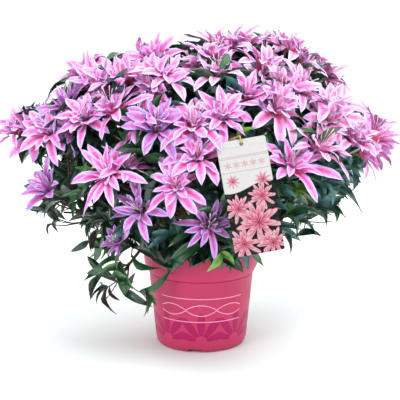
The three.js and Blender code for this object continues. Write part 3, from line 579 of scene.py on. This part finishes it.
def plan_bloom(mass, k, way):
    centre = CROWN_CENTRE + way * (crown_reach(way) - BLOOM_SINK)
    outward = Vector([a / b for a, b in zip(way, CROWN_RADII)]).normalized() + UP * UPTURN
    axis = lean(outward.normalized(), 360 * draw(k, 5, mass.salt), BLOOM_LEAN * draw(k, 6, mass.salt))
    start = mass.tip.lerp(mass.stem_end, BLOOM_FORK + BLOOM_FORK_SPAN * draw(k, 7, mass.salt))
    return SimpleNamespace(centre=centre, axis=axis, start=start, mass=mass, number=k)


def plan_shoot(mass, k):
    way = lean(mass.way, mass.spin + SHOOT_SPIN + k * GOLDEN_TURN, SHOOT_PITCH * math.sqrt(k + 1))
    reach = crown_reach(way) * mix(SHOOT_NEAR, SHOOT_FAR, draw(k, 9, mass.salt))
    start = mass.tip.lerp(mass.stem_end, SHOOT_FORK + SHOOT_FORK_SPAN * draw(k, 10, mass.salt))
    return start, CROWN_CENTRE + way * reach


def grow_twig(start, end, radius, arrive=None):
    """A twig that leaves its stem, bends, and arrives along a direction. Keeps its strand."""
    length = (end - start).length
    arrive = arrive or (end - start).normalized() + UP * UPTURN
    middle = end - arrive.normalized() * length * TWIG_SHOULDER
    line = bend_through(start, middle, end)
    shares = (0, 0.25, 0.5, 0.75, 1)
    radii = [mix(radius, radius * TWIG_TAPER, s) for s in shares]
    twig_strands.append(([line(s) for s in shares], radii))
    return line


def grow_bloom(bloom):
    if in_space(bloom.mass, bloom.centre):
        neck = bloom.centre - bloom.axis * BLOOM_NECK
        line = grow_twig(bloom.start, neck, BLOOM_TWIG_RADIUS, bloom.axis)
        blooms.append(bloom)
        leafy_ends.append((bloom.mass, line(0.93), bloom.axis, *BLOOM_WHORL))


twig_strands = []
blooms = []
leafy_ends = []  # mass, where the leaves end, the twig's direction there, leaves, how far back they go
for mass in masses:
    shares = (0, 0.3, 0.6, 1)
    twig_strands.append(([mass.tip.lerp(mass.stem_end, s) for s in shares],
                         [mix(*STEM_RADII, s) for s in shares]))
    shoot_whorl, side_whorl = AIRY_WHORLS if mass.airy else WHORLS
    for k in range(mass.blooms):
        pitch = mass.pitch * math.sqrt(k + 0.5)
        grow_bloom(plan_bloom(mass, k, lean(mass.way, mass.spin + k * GOLDEN_TURN, pitch)))
    grown = 0
    for k in range(SHOOT_TRIES):
        start, end = plan_shoot(mass, k)
        if grown == mass.shoots or not in_space(mass, end):
            continue
        grown += 1
        line = grow_twig(start, end, SHOOT_RADIUS)
        along = (line(1) - line(0.8)).normalized()
        leafy_ends.append((mass, line(1), along, *shoot_whorl))
        for j in range(AIRY_TWIGLETS if mass.airy else TWIGLETS):
            item = k * 10 + j
            fork = line(TWIGLET_FORK + TWIGLET_STEP * j + TWIGLET_JITTER * draw(item, 11, mass.salt))
            bearing = 360 * draw(item, 12, mass.salt)
            way = lean(along, bearing, mix(*TWIGLET_ANGLE, draw(item, 13, mass.salt)))
            tip = fork + way * mix(*TWIGLET_LENGTH, draw(item, 14, mass.salt))
            if in_space(mass, tip, slack=TWIGLET_SLACK):
                side_line = grow_twig(fork, tip, TWIGLET_RADIUS, way + UP * 0.3)
                leafy_ends.append((mass, tip, (tip - side_line(0.7)).normalized(), *side_whorl))
for mass in masses:
    if mass.name in LATE_BLOOMS:
        start, end = plan_shoot(mass, LATE_BLOOMS[mass.name])
        grow_bloom(plan_bloom(mass, LATE_BLOOMS[mass.name], (end - CROWN_CENTRE).normalized()))
twig_bark = make_bark_finish("twig_bark", TWIG_BROWN, 700)
keep("twigs", tubes("twigs", twig_strands, 1), [twig_bark], "bark",
     *(f"foliage_{mass.name}" for mass in masses))

# Leaves: evergreen, leathery, narrow and pointed, mostly 34 to 58 mm long. They grow in whorls at
# the ends of the shoots and under the blooms. Most are dark, all are glossy, and the young ones are
# yellow-green. Some take a bluish tint that is painted sheen: the sky's reflection in their gloss,
# painted into their colour, more often towards the right where the key light falls.
LEAF_LENGTH, LEAF_WIDTH, FULL_WIDTH_FROM = (34, 58), (10.5, 15.5), 46
LEAF_BROADEST, LEAF_BLUNTNESS, LEAF_STALK = 0.82, 0.85, 0.03
LEAF_DROP, LEAF_FOLD, LEAF_RIPPLES, LEAF_RIPPLE, LEAF_SHORTENING = 1.6, 0.35, 9, 0.02, 0.12
LEAF_FORMS = ((0.16, 1, 1), (0.34, 0.6, -1), (0.5, 0.8, 2), (0.05, 1.4, 0))  # arch, fold, wave
DEEP, PAINTED_SHEEN, GREEN, YOUNG = range(4)
# The bluish second tint is painted sheen: the sky's reflection in the leaves' gloss, painted into their
# colour.
LEAF_TINTS = (("leaf_deep", (25, 52, 38)), ("leaf_blue", (58, 102, 98)),
              ("leaf_green", (40, 82, 48)), ("leaf_young", (98, 142, 50)))
YOUNG_FROM, PAINTED_SHEEN_FROM, GREEN_FROM = 0.93, 0.6, 0.34
SHEEN_DRIFT, SHEEN_SHIFT = 500, 0.15  # painted sheen: leaves take the bluish tint more often towards the right, where the key light falls, and the dark tint more often towards the left
LOW_LEAF, LOW_LEAF_OVER = 300, 110  # from which height down they hang more, and over how much
LEAF_HANG, LEAF_SPREAD, LEAF_JITTER, YOUNG_LENGTH = (0.2, 0.95), (28, 82), 40, 0.8
LOW_LEFT_SMALLER, LOW_RIGHT_LARGER = 0.28, 0.15
LEAF_SLACK, LEAF_BELOW = 12, 18  # how far a leaf may reach out of its mass and under the skirt


def make_leaf_shape(arch, fold, wave):
    """A leaf one long and one wide, from its stalk at the origin along +Y, its face to +Z."""
    bm = bmesh.new()
    bmesh.ops.create_grid(bm, x_segments=2, y_segments=7, size=0.5)
    for v in bm.verts:
        across, t = v.co.x * 2, v.co.y + 0.5
        outline = max(0.0, math.sin(math.pi * t ** LEAF_BROADEST)) ** LEAF_BLUNTNESS
        half = 0.5 * outline + LEAF_STALK * (1 - t)
        v.co.x = across * half
        v.co.z = (arch * (t - t * t * LEAF_DROP) + fold * abs(across) * half * LEAF_FOLD
                  + wave * across * math.sin(LEAF_RIPPLES * t) * LEAF_RIPPLE)
        v.co.y = t * (1 - LEAF_SHORTENING * abs(arch))
    bmesh.ops.remove_doubles(bm, verts=bm.verts[:], dist=0.004)
    return master(bm)


def make_leaf_finish(name, colour):
    finish, tree, shader = start_finish(name, colour, Roughness=0.32, Coat_Weight=0.55,
                                        Coat_Roughness=0.22)
    speckle(tree, shader, colour, 0.8, 1.45, 110)
    emboss(tree, shader, grain(tree, 520, 3), 0.0005, 0.5)
    return finish


def place_leaf(root, way, face, length, width):
    side = way.cross(face).normalized()
    up = side.cross(way)
    turn = Matrix((side * width, way * length, up * length)).transposed().to_4x4()
    return Matrix.Translation(root) @ turn


leaf_shapes = [make_leaf_shape(*form) for form in LEAF_FORMS]
leaf_places = []
for number, (mass, end, along, count, stretch) in enumerate(leafy_ends):
    # The bluish tint, a painted sheen, falls more often on leaves to the right.
    pick = draw(number, 20, mass.salt) + end.x / SHEEN_DRIFT - SHEEN_SHIFT
    tint = PAINTED_SHEEN if pick > PAINTED_SHEEN_FROM else GREEN if pick > GREEN_FROM else DEEP
    if draw(number, 19, mass.salt) > YOUNG_FROM:
        tint = YOUNG
    low = clamped((LOW_LEAF - end.z) / LOW_LEAF_OVER)
    hang = mix(*LEAF_HANG, low)
    to_left, to_right = clamped((-end.x - 110) / 60), clamped(end.x / 100)
    low_size = 1 - LOW_LEFT_SMALLER * low * to_left + LOW_RIGHT_LARGER * low * to_right
    for k in range(count):
        item = number * 12 + k
        spread = mix(*LEAF_SPREAD, draw(item, 21, mass.salt))
        way = lean(along, k * GOLDEN_TURN + LEAF_JITTER * draw(item, 22, mass.salt), spread)
        way = (way - UP * hang * draw(item, 23, mass.salt)).normalized()
        root = end - along * (stretch * (k / count) ** 1.5)
        own_size = YOUNG_LENGTH if tint == YOUNG else low_size
        length = mix(*LEAF_LENGTH, draw(item, 24, mass.salt)) * own_size
        width = mix(*LEAF_WIDTH, draw(item, 25, mass.salt)) * min(1, length / FULL_WIDTH_FROM)
        tip = root + way * length
        if (not in_space(mass, tip, slack=LEAF_SLACK, below=LEAF_BELOW)
                or hits_card(root + way * length / 2)):
            continue
        face = along + UP * 0.6
        if abs(face.normalized().dot(way)) > 0.97:
            face = UP
        which = int(draw(item, 26, mass.salt) * len(leaf_shapes))
        leaf_places.append((which, place_leaf(root, way, face, length, width), tint))
leaf_finishes = [make_leaf_finish(*row) for row in LEAF_TINTS]
keep("leaves", lay_out("leaves", leaf_shapes, leaf_places), leaf_finishes, "leaf")

# Blooms: double flowers of narrow, pointed petals that bend back, some 90 mm across, alone or two or
# three together at the end of a twig. Each petal has a hot pink midline, coral in the throat, and a
# wide pale margin. Short curled petals stand in the middle.
PETAL_ZONES = ("throat", "stripe", "inner", "outer", "margin")
THROAT, STRIPE, INNER, OUTER, MARGIN = range(len(PETAL_ZONES))
# The blush tint is paler and the orchid tint darker. This is partly the flowers' own colours, and
# partly painted light for the key light up on the right and painted shade low on the left.
PETAL_TINTS = {  # one colour for each zone
    "rose": ((226, 78, 112), (234, 92, 164), (236, 122, 198), (228, 158, 230), (210, 198, 248)),
    "orchid": ((190, 70, 116), (190, 78, 156), (190, 98, 182), (182, 132, 208), (192, 174, 234)),
    "blush": ((236, 96, 134), (240, 114, 174), (244, 148, 208), (236, 180, 234), (224, 212, 250)),
}
KINDS = {  # rings of petals: count, length, width, angle it leaves at, bend, frill, start turn
    "double": [(7, 58, 14.5, 38, 84, 0.22, 0), (7, 51, 13.5, 56, 68, 0.28, 24),
               (7, 39, 11.5, 70, 50, 0.4, 12), (5, 25, 8, 84, 40, 0.5, 40)],
    "full": [(8, 56, 14, 42, 82, 0.22, 0), (7, 48, 13, 60, 60, 0.3, 26),
             (7, 35, 10.5, 76, 46, 0.45, 8), (5, 23, 8, 86, 40, 0.5, 40)],
    "spidery": [(6, 62, 13, 34, 76, 0.16, 0), (6, 53, 12, 54, 58, 0.22, 30),
                (6, 41, 10.5, 70, 42, 0.35, 10), (5, 27, 8, 84, 34, 0.4, 70)],
    "opening": [(6, 54, 14.5, 62, 58, 0.16, 0), (6, 46, 12, 74, 42, 0.24, 30),
                (5, 35, 10, 84, 26, 0.35, 50)],
}
VARIANTS, FLOWER_SALT = 3, 70
# How far each petal of a flower strays from its ring's own measures.
LENGTH_STRAY, WIDTH_STRAY, BEND_STRAY = (0.8, 1.06), (0.85, 1.1), (0.65, 1.35)
LEAVE_STRAY, TURN_STRAY, TWIST_STRAY, SWAY_STRAY = (-12, 12), (-11, 11), (-40, 40), (-0.16, 0.16)
BROAD_PETAL, PETAL_ROOT, SPINE_STEPS = 34, Vector((2.0, 0, -7.0)), 24
POINT_FROM, POINT_OVER = 0.74, 0.26  # where along it a petal starts to run to its point
CROWD_HEIGHT, CROWD_OVER, CROWD_BACK, CROWD_ASIDE = 230, 80, 0.2, 250
BLOOM_SIZE, LOW_BLOOM_SIZE, LOW_BLOOM, LOW_BLOOM_OVER = (0.94, 1.14), 0.66, 195, 95
SIDE_BLOOM_TURN, SIDE_BLOOM_LEAN, SIDE_BLOOM_SIZE = 125, (38, 66), 0.88
SIDE_BLOOM_OUT, SIDE_BLOOM_BACK, SIDE_BLOOM_SLACK, CARD_ROOM = 22, 12, 14, 30
BLUSH_PAINTED_LIGHT_FROM, ORCHID_PAINTED_SHADE_BELOW = 0.3, -0.25
OPEN_KINDS, MIXED_KINDS = 0.4, 0.6  # flowers with room round them are more often the open kinds


def zone(across, t, wide):
    """Which colour a petal has at a share of its half width and of its length."""
    if across < (0.7 if t < 0.25 else 0.3 if t < 0.4 else 0):
        return THROAT
    if wide:
        return min(MARGIN, STRIPE + int(3.3 * across + 2 * max(0, t - 0.4)))
    return MARGIN if across >= 0.5 else STRIPE if t < 0.75 else OUTER


def add_petal(bm, length, width, leave, bend, frill, turn, seed):
    """One petal as a strap: it leaves the throat at an angle and bends back towards its tip."""
    wide = length > BROAD_PETAL
    made = bmesh.ops.create_grid(bm, x_segments=8 if wide else 4, y_segments=7 if wide else 5, size=0.5)
    verts = made["verts"]
    for face in {f for v in verts for f in v.link_faces}:
        centre = face.calc_center_median()
        face.material_index = zone(abs(centre.x) * 2, centre.y + 0.5, wide)
    step = 1 / SPINE_STEPS
    spine = [PETAL_ROOT]
    for k in range(SPINE_STEPS):
        angle = math.radians(leave - bend * ((k + 0.5) * step) ** 1.3)
        spine.append(spine[-1] + Vector((math.cos(angle), 0, math.sin(angle))) * length * step)
    twist = math.radians(mix(*TWIST_STRAY, draw(seed, 1, FLOWER_SALT)))
    sway = mix(*SWAY_STRAY, draw(seed, 2, FLOWER_SALT))
    phase = math.tau * draw(seed, 3, FLOWER_SALT)
    spin = Matrix.Rotation(math.radians(turn), 4, "Z")
    for v in verts:
        across, t = v.co.x * 2, v.co.y + 0.5
        at = min(SPINE_STEPS - 1, int(t * SPINE_STEPS))
        spot = spine[at].lerp(spine[at + 1], t * SPINE_STEPS - at)
        forward = (spine[at + 1] - spine[at]).normalized()
        lift = Vector((-forward.z, 0, forward.x))
        side = Vector((0, 1, 0)) * math.cos(twist * t) + lift * math.sin(twist * t)
        lift = lift * math.cos(twist * t) - Vector((0, 1, 0)) * math.sin(twist * t)
        swelling = 0.3 + 0.7 * math.sin(math.pi * min(1, 0.04 + 0.9 * t ** 1.15)) ** 0.7
        pointing = 1 - max(0, (t - POINT_FROM) / POINT_OVER) ** 2.2
        half = width / 2 * swelling * pointing + 0.15
        cup = 0.32 * half * across ** 2 * (1 - 1.6 * t)
        wavy = frill * half * abs(across) ** 2 * math.sin(12 * t + phase + (1.3 if across > 0 else 0))
        bowed = spot + side * (across * half) + lift * (cup + wavy) + side * sway * length * t * t
        v.co = spin @ bowed


def make_flower(kind, seed):
    bm = bmesh.new()
    for ring, (count, length, width, leave, bend, frill, start) in enumerate(KINDS[kind]):
        for k in range(count):
            item = seed * 100 + ring * 10 + k
            own_length = length * mix(*LENGTH_STRAY, draw(item, 4, FLOWER_SALT))
            own_width = width * mix(*WIDTH_STRAY, draw(item, 5, FLOWER_SALT))
            own_leave = leave + mix(*LEAVE_STRAY, draw(item, 6, FLOWER_SALT))
            own_bend = bend * mix(*BEND_STRAY, draw(item, 7, FLOWER_SALT))
            own_turn = start + k * 360 / count + mix(*TURN_STRAY, draw(item, 8, FLOWER_SALT))
            add_petal(bm, own_length, own_width, own_leave, own_bend, frill, own_turn, item)
    return master(bm)


def make_petal_finish(name, colour):
    finish, tree, shader = start_finish(
        name, colour, Roughness=0.55, Subsurface_Weight=0.3, Subsurface_Scale=0.004,
        Sheen_Weight=0.15, Sheen_Roughness=0.4)
    shader.inputs["Subsurface Radius"].default_value = (1.0, 0.5, 0.6)
    speckle(tree, shader, colour, 0.5, 0.93, 150)
    emboss(tree, shader, grain(tree, 900, 2), 0.0003, 0.4)
    return finish


flower_shapes = [make_flower(kind, VARIANTS * k + j)
                 for k, kind in enumerate(KINDS) for j in range(VARIANTS)]
flower_places = {tint: [] for tint in PETAL_TINTS}
flower_faces = []  # where each flower sits, the way it faces, its size
for bloom in blooms:
    salt = bloom.mass.salt
    # Blooms crowd together high on the crown and at its sides, the right one most.
    crowding = clamped((bloom.centre.z + CROWD_BACK * bloom.centre.y - CROWD_HEIGHT) / CROWD_OVER)
    aside = bloom.centre.x / CROWD_ASIDE
    company = (0.6 + 0.25 * aside + 0.55 * aside * aside) * crowding
    for s in range(int(company + draw(bloom.number, 30, salt)) + 1):
        item = bloom.number * 8 + s
        axis, centre = bloom.axis, bloom.centre
        full_grown = clamped((centre.z - LOW_BLOOM) / LOW_BLOOM_OVER)
        size = mix(*BLOOM_SIZE, draw(item, 31, salt)) * mix(LOW_BLOOM_SIZE, 1, full_grown)
        if s:
            bearing = 360 * draw(bloom.number, 32, salt) + SIDE_BLOOM_TURN * s
            axis = lean(bloom.axis, bearing, mix(*SIDE_BLOOM_LEAN, draw(item, 33, salt)))
            outward = lean(bloom.axis, bearing, 90)
            centre = bloom.centre + outward * SIDE_BLOOM_OUT - bloom.axis * SIDE_BLOOM_BACK
            size *= SIDE_BLOOM_SIZE
            if (not in_space(bloom.mass, centre, slack=SIDE_BLOOM_SLACK)
                    or hits_card(centre + axis * CARD_ROOM)):
                continue
        # Painted light and shade, in part: those at the upper right, where the key light falls, take
        # the palest tint, and those in the shade at the lower left the darkest, with a random spread of
        # the flowers' own tone.
        tone_and_painted_light = centre.x / 300 * 0.6 + (centre.z - 320) / 220 + 0.9 * (draw(item, 34, salt) - 0.5)
        tint = "blush" if tone_and_painted_light > BLUSH_PAINTED_LIGHT_FROM else "orchid" if tone_and_painted_light < ORCHID_PAINTED_SHADE_BELOW else "rose"
        facing = axis.normalized()
        side = UP.cross(facing).normalized()
        turned = Matrix((side, facing.cross(side), facing)).transposed().to_4x4()
        spun = Matrix.Rotation(6.28 * draw(item, 35, salt), 4, "Z")
        place = Matrix.Translation(centre) @ turned @ spun @ Matrix.Scale(size, 4)
        which = int(mix(OPEN_KINDS, 0, crowding) * len(flower_shapes)
                    + MIXED_KINDS * draw(item, 36, salt) * len(flower_shapes))
        flower_places[tint].append((which, place, 0))
        flower_faces.append((centre, facing, size))
for tint, colours in PETAL_TINTS.items():
    finishes = [make_petal_finish(f"{tint}_{part}", colour)
                for part, colour in zip(PETAL_ZONES, colours)]
    petals = lay_out(f"blooms_{tint}", flower_shapes, flower_places[tint])
    keep(f"blooms_{tint}", petals, finishes, "blossom")

# Stamens and calyxes: fine pale stamens with thicker anthers at their ends stand out of each
# throat, and a green stalk that widens to a cup holds each flower at its back.
STAMENS, STAMEN_TURN, STAMEN_JITTER, STAMEN_SPREAD, STAMEN_LENGTH = 5, 72, 50, (8, 30), 30
STAMEN_SHARES, STAMEN_RADII = (0, 0.4, 0.8, 0.97, 1), [0.35, 0.3, 0.3, 0.7, 0.5]
STALK_BEHIND, STALK_RADII = (20, 12, 6, 2), [1.0, 1.8, 4.0, 4.2]


def make_speckled_finish(name, colour, roughness, share, change, scale):
    finish, tree, shader = start_finish(name, colour, Roughness=roughness)
    speckle(tree, shader, colour, share, change, scale)
    return finish


stamen_strands, stalk_strands = [], []
for number, (centre, axis, size) in enumerate(flower_faces):
    for k in range(STAMENS):
        bearing = STAMEN_TURN * k + STAMEN_JITTER * draw(number, 40, k)
        way = lean(axis, bearing, mix(*STAMEN_SPREAD, draw(number, 41, k)))
        tip = centre + way * STAMEN_LENGTH * size + UP * 3
        line = bend_through(centre - axis * 5, centre + axis * 14, tip)
        stamen_strands.append(([line(s) for s in STAMEN_SHARES], STAMEN_RADII))
    stalk_strands.append(([centre - axis * behind * size for behind in STALK_BEHIND], STALK_RADII))
stamen_finish = make_speckled_finish("stamen", (248, 214, 226), 0.5, 0.5, 0.9, 60)
keep("stamens", tubes("stamens", stamen_strands, 0), [stamen_finish], "blossom")
stalk_finish = make_speckled_finish("flower_stalk", (104, 108, 50), 0.6, 1.0, 0.75, 200)
keep("flower_stalks", tubes("flower_stalks", stalk_strands, 1), [stalk_finish], "leaf")

# Label: a tall card of coated stock, a little bowed, punched near its top and hung from a flowering
# twig. It is pale above, with fine rules, small stars and two small flowers, and below it has a dark
# panel with larger pink flowers.
CARD_THICKNESS, CARD_CORNER, HOLE_RADIUS, HOLE_DROP = 0.5, 3, 2.4, 6
CARD_BOW, CARD_STEPS, PUNCH_DEPTH = 1.2, 16, 4
CARD_PALE, CARD_GREY = (185, 182, 183), (178, 175, 176)
RULES, RULE_HALF, RULE_SHARE, RULE_INK = (54, 52, 34), 0.4, 0.7, (150, 124, 112)
STARS, STAR_HEIGHT, STAR_REACH, STAR_POINTS = (-22, -11, 0, 11, 22), 43, 5, 6
STAR_SHARE, STAR_INK = 0.6, (170, 110, 108)
PANEL_TOP, PANEL_WAVE, PANEL_WAVES = 12.0, -5.0, 0.07
PANEL_DARK, PANEL_LEAF, LEAFY_FROM = (9, 12, 12), (22, 40, 26), 0.55
HEAD_FLOWERS = (((-19, 22), 9, 0.2), ((20, 19), 11, 0.9))  # middle, reach, spin
PANEL_FLOWERS = (((15, -2), 19, 0.5), ((-18, -14), 20, 0.0), ((-18, -60), 24, 0.6),
                 ((19, -64), 22, 0.2), ((5, -35), 31, 0.3))
FLOWER_RINGS = ((1.0, 9, 0.0), (0.78, 8, 0.35), (0.5, 7, 0.1))  # size, petals, turn
PRINT_HEART, PRINT_ROSE, PRINT_EDGE = (112, 18, 42), (168, 70, 98), (188, 142, 154)
# From and to which share of a petal's length each ink comes in over the last.
PETAL_INKS = ((0.1, 0.5, PRINT_ROSE), (0.5, 0.86, PRINT_EDGE), (0.93, 1, PRINT_HEART))
PETAL_SHARPNESS, PETAL_DEPTH = 1.6, 0.85


def card_spot(x, y, z):
    return CARD_CENTRE + CARD_RIGHT * x + CARD_UP * y + CARD_NORMAL * z


def petal_print(tree, u, v, middle, reach, lobes, spin):
    """How far out a spot lies in a flower of pointed lobes on the card: 1 is at its edge."""
    across, up = calc(tree, "SUBTRACT", u, middle[0]), calc(tree, "SUBTRACT", v, middle[1])
    out = distance(tree, across, up)
    angle = calc(tree, "ADD", calc(tree, "ARCTAN2", across, up), spin)
    lobe = calc(tree, "ABSOLUTE", calc(tree, "COSINE", times(tree, angle, lobes / 2)))
    lobe = times(tree, calc(tree, "POWER", lobe, PETAL_SHARPNESS), PETAL_DEPTH)
    edge = times(tree, calc(tree, "ADD", lobe, 0.15), reach)
    return calc(tree, "DIVIDE", out, edge)


def print_flower(tree, u, v, colour, share, middle, reach, spin):
    """A printed flower of three rings of petals, red at heart and pale at their edges."""
    for size, lobes, turn in FLOWER_RINGS:
        edge = petal_print(tree, u, v, middle, reach * size, lobes, spin + turn)
        tint = tone(*PRINT_HEART)
        for start, end, ink in PETAL_INKS:
            tint = blend_colour(tree, ramp(tree, edge, start, end, 0.0, 1.0), tint, tone(*ink))
        shape = times(tree, calc(tree, "LESS_THAN", edge, 1.0), share)
        colour = blend_colour(tree, shape, colour, tint)
    return colour


def make_card_finish():
    finish, tree, shader = start_finish("printed_card", (188, 186, 186), Roughness=0.6,
                                        Specular_IOR_Level=0.15)
    uv = node(tree, "ShaderNodeUVMap", {}, uv_map="card").outputs[0]
    u, v, _ = node(tree, "ShaderNodeSeparateXYZ", {0: uv}).outputs
    colour = blend_colour(tree, grain(tree, 500, 2), tone(*CARD_PALE), tone(*CARD_GREY))
    for height in RULES:
        rule = calc(tree, "LESS_THAN", gap(tree, v, height), RULE_HALF)
        colour = blend_colour(tree, times(tree, rule, RULE_SHARE), colour, tone(*RULE_INK))
    for middle in STARS:
        edge = petal_print(tree, u, v, (middle, STAR_HEIGHT), STAR_REACH, STAR_POINTS, 0.0)
        star = calc(tree, "LESS_THAN", edge, 1.0)
        colour = blend_colour(tree, times(tree, star, STAR_SHARE), colour, tone(*STAR_INK))
    wave = calc(tree, "SINE", times(tree, u, PANEL_WAVES))
    wavy = calc(tree, "ADD", v, times(tree, wave, PANEL_WAVE))
    dark = calc(tree, "LESS_THAN", wavy, PANEL_TOP)
    leafy = calc(tree, "GREATER_THAN", grain(tree, 150, 3), LEAFY_FROM)
    panel = blend_colour(tree, leafy, tone(*PANEL_DARK), tone(*PANEL_LEAF))
    colour = blend_colour(tree, dark, colour, panel)
    for flower in HEAD_FLOWERS:
        colour = print_flower(tree, u, v, colour, 1.0, *flower)
    for flower in PANEL_FLOWERS:
        colour = print_flower(tree, u, v, colour, dark, *flower)
    tree.links.new(colour, shader.inputs["Base Color"])
    emboss(tree, shader, grain(tree, 1500, 2), 0.00005, 0.3)
    return finish


card_bm = bmesh.new()
card_size = Matrix.Diagonal((CARD_WIDTH, CARD_HEIGHT, CARD_THICKNESS, 1))
bmesh.ops.create_cube(card_bm, size=1, matrix=card_size)
corners = [edge for edge in card_bm.edges if edge.verts[0].co.xy == edge.verts[1].co.xy]
bmesh.ops.bevel(card_bm, geom=corners, offset=CARD_CORNER, segments=5, profile=0.5, affect="EDGES",
                material=-1)
for k in range(1, CARD_STEPS):
    bmesh.ops.bisect_plane(card_bm, geom=card_bm.verts[:] + card_bm.edges[:] + card_bm.faces[:],
                           plane_co=(0, CARD_HEIGHT * (k / CARD_STEPS - 0.5), 0), plane_no=(0, 1, 0))
punch_bm = bmesh.new()
hole_place = Matrix.Translation((0, CARD_HEIGHT / 2 - HOLE_DROP, 0))
bmesh.ops.create_cone(punch_bm, cap_ends=True, segments=24, radius1=HOLE_RADIUS, radius2=HOLE_RADIUS,
                      depth=PUNCH_DEPTH, matrix=hole_place)
card_mesh = cut_out(card_bm, punch_bm)
card_uv = card_mesh.uv_layers.new(name="card")
for loop in card_mesh.loops:
    card_uv.data[loop.index].uv = card_mesh.vertices[loop.vertex_index].co.xy
for v in card_mesh.vertices:
    x, y, z = v.co
    bow = CARD_BOW * (1 - (2 * y / CARD_HEIGHT) ** 2) - 0.5 * CARD_BOW * (2 * x / CARD_WIDTH) ** 2
    v.co = card_spot(x, y, z + bow) / 1000
keep("plant_label", card_mesh, [make_card_finish()], "card", "label_card", smooth=False)

# Tie: a loop of tan raffia, threaded through the label's hole and passed round the flowering twig
# behind it. The frame's own solid keeps its shape, and gets a mottled surface here.
tie_finish = make_speckled_finish("raffia", (190, 160, 100), 0.8, 1.0, 0.7, 300)
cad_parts["label_tie"].data.materials.clear()
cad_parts["label_tie"].data.materials.append(tie_finish)

# Studio: white paper under the plant, a white sky that is brightest overhead, three large soft
# lights, and the camera at the photograph's angle.
PAPER_WHITE, PAPER_SIZE = (240, 248, 247), 12
HORIZON_GLOW, ZENITH_GLOW, ZENITH_FROM = 0.4, 1.45, 0.8
CAMERA_TARGET = Vector((-0.0017, 0, 0.2145))
CAMERA_DISTANCE, CAMERA_TILT, CAMERA_LENS, CAMERA_SENSOR = 2.0, 12.2, 122.3, 36
LIGHT_TARGET = CAMERA_TARGET + Vector((0, 0, 0.1))
floor_bm = bmesh.new()
bmesh.ops.create_grid(floor_bm, x_segments=1, y_segments=1, size=PAPER_SIZE)
floor = add_object("floor", as_mesh("floor", floor_bm))
floor_finish, tree, shader = start_finish("white_paper", PAPER_WHITE, Roughness=0.95)
floor.data.materials.append(floor_finish)
floor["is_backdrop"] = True

world = bpy.data.worlds.new("studio")
world.use_nodes = True
sky = world.node_tree
way = node(sky, "ShaderNodeTexCoord", {}).outputs["Generated"]
height = node(sky, "ShaderNodeSeparateXYZ", {0: way}).outputs[2]
background = sky.nodes["Background"]
background.inputs[0].default_value = (1, 1, 1, 1)
glow = ramp(sky, height, 0.0, ZENITH_FROM, HORIZON_GLOW, ZENITH_GLOW)
sky.links.new(glow, background.inputs[1])
bpy.context.scene.world = world


def add_light(name, place, size, watts):
    lamp = bpy.data.lights.new(name, "AREA")
    lamp.shape, lamp.size, lamp.energy = "DISK", size, watts
    holder = add_object(name, lamp)
    holder.location = place
    ahead = LIGHT_TARGET - Vector(place)
    holder.rotation_euler = ahead.to_track_quat("-Z", "Y").to_euler()


add_light("key", (0.6, -1.4, 2.0), 0.9, 28)
add_light("fill", (-1.4, -1.6, 1.0), 1.2, 13)
add_light("back", (0.2, 1.6, 1.8), 1.2, 16)

camera = add_object("camera", bpy.data.cameras.new("camera"))
camera.data.lens, camera.data.sensor_width = CAMERA_LENS, CAMERA_SENSOR
tilt = math.radians(CAMERA_TILT)
back = Vector((0, -math.cos(tilt), math.sin(tilt)))
camera.location = CAMERA_TARGET + back * CAMERA_DISTANCE
camera.rotation_euler = (-back).to_track_quat("-Z", "Y").to_euler()
bpy.context.scene.camera = camera
bpy.context.scene.view_settings.view_transform = "Standard"

low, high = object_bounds()
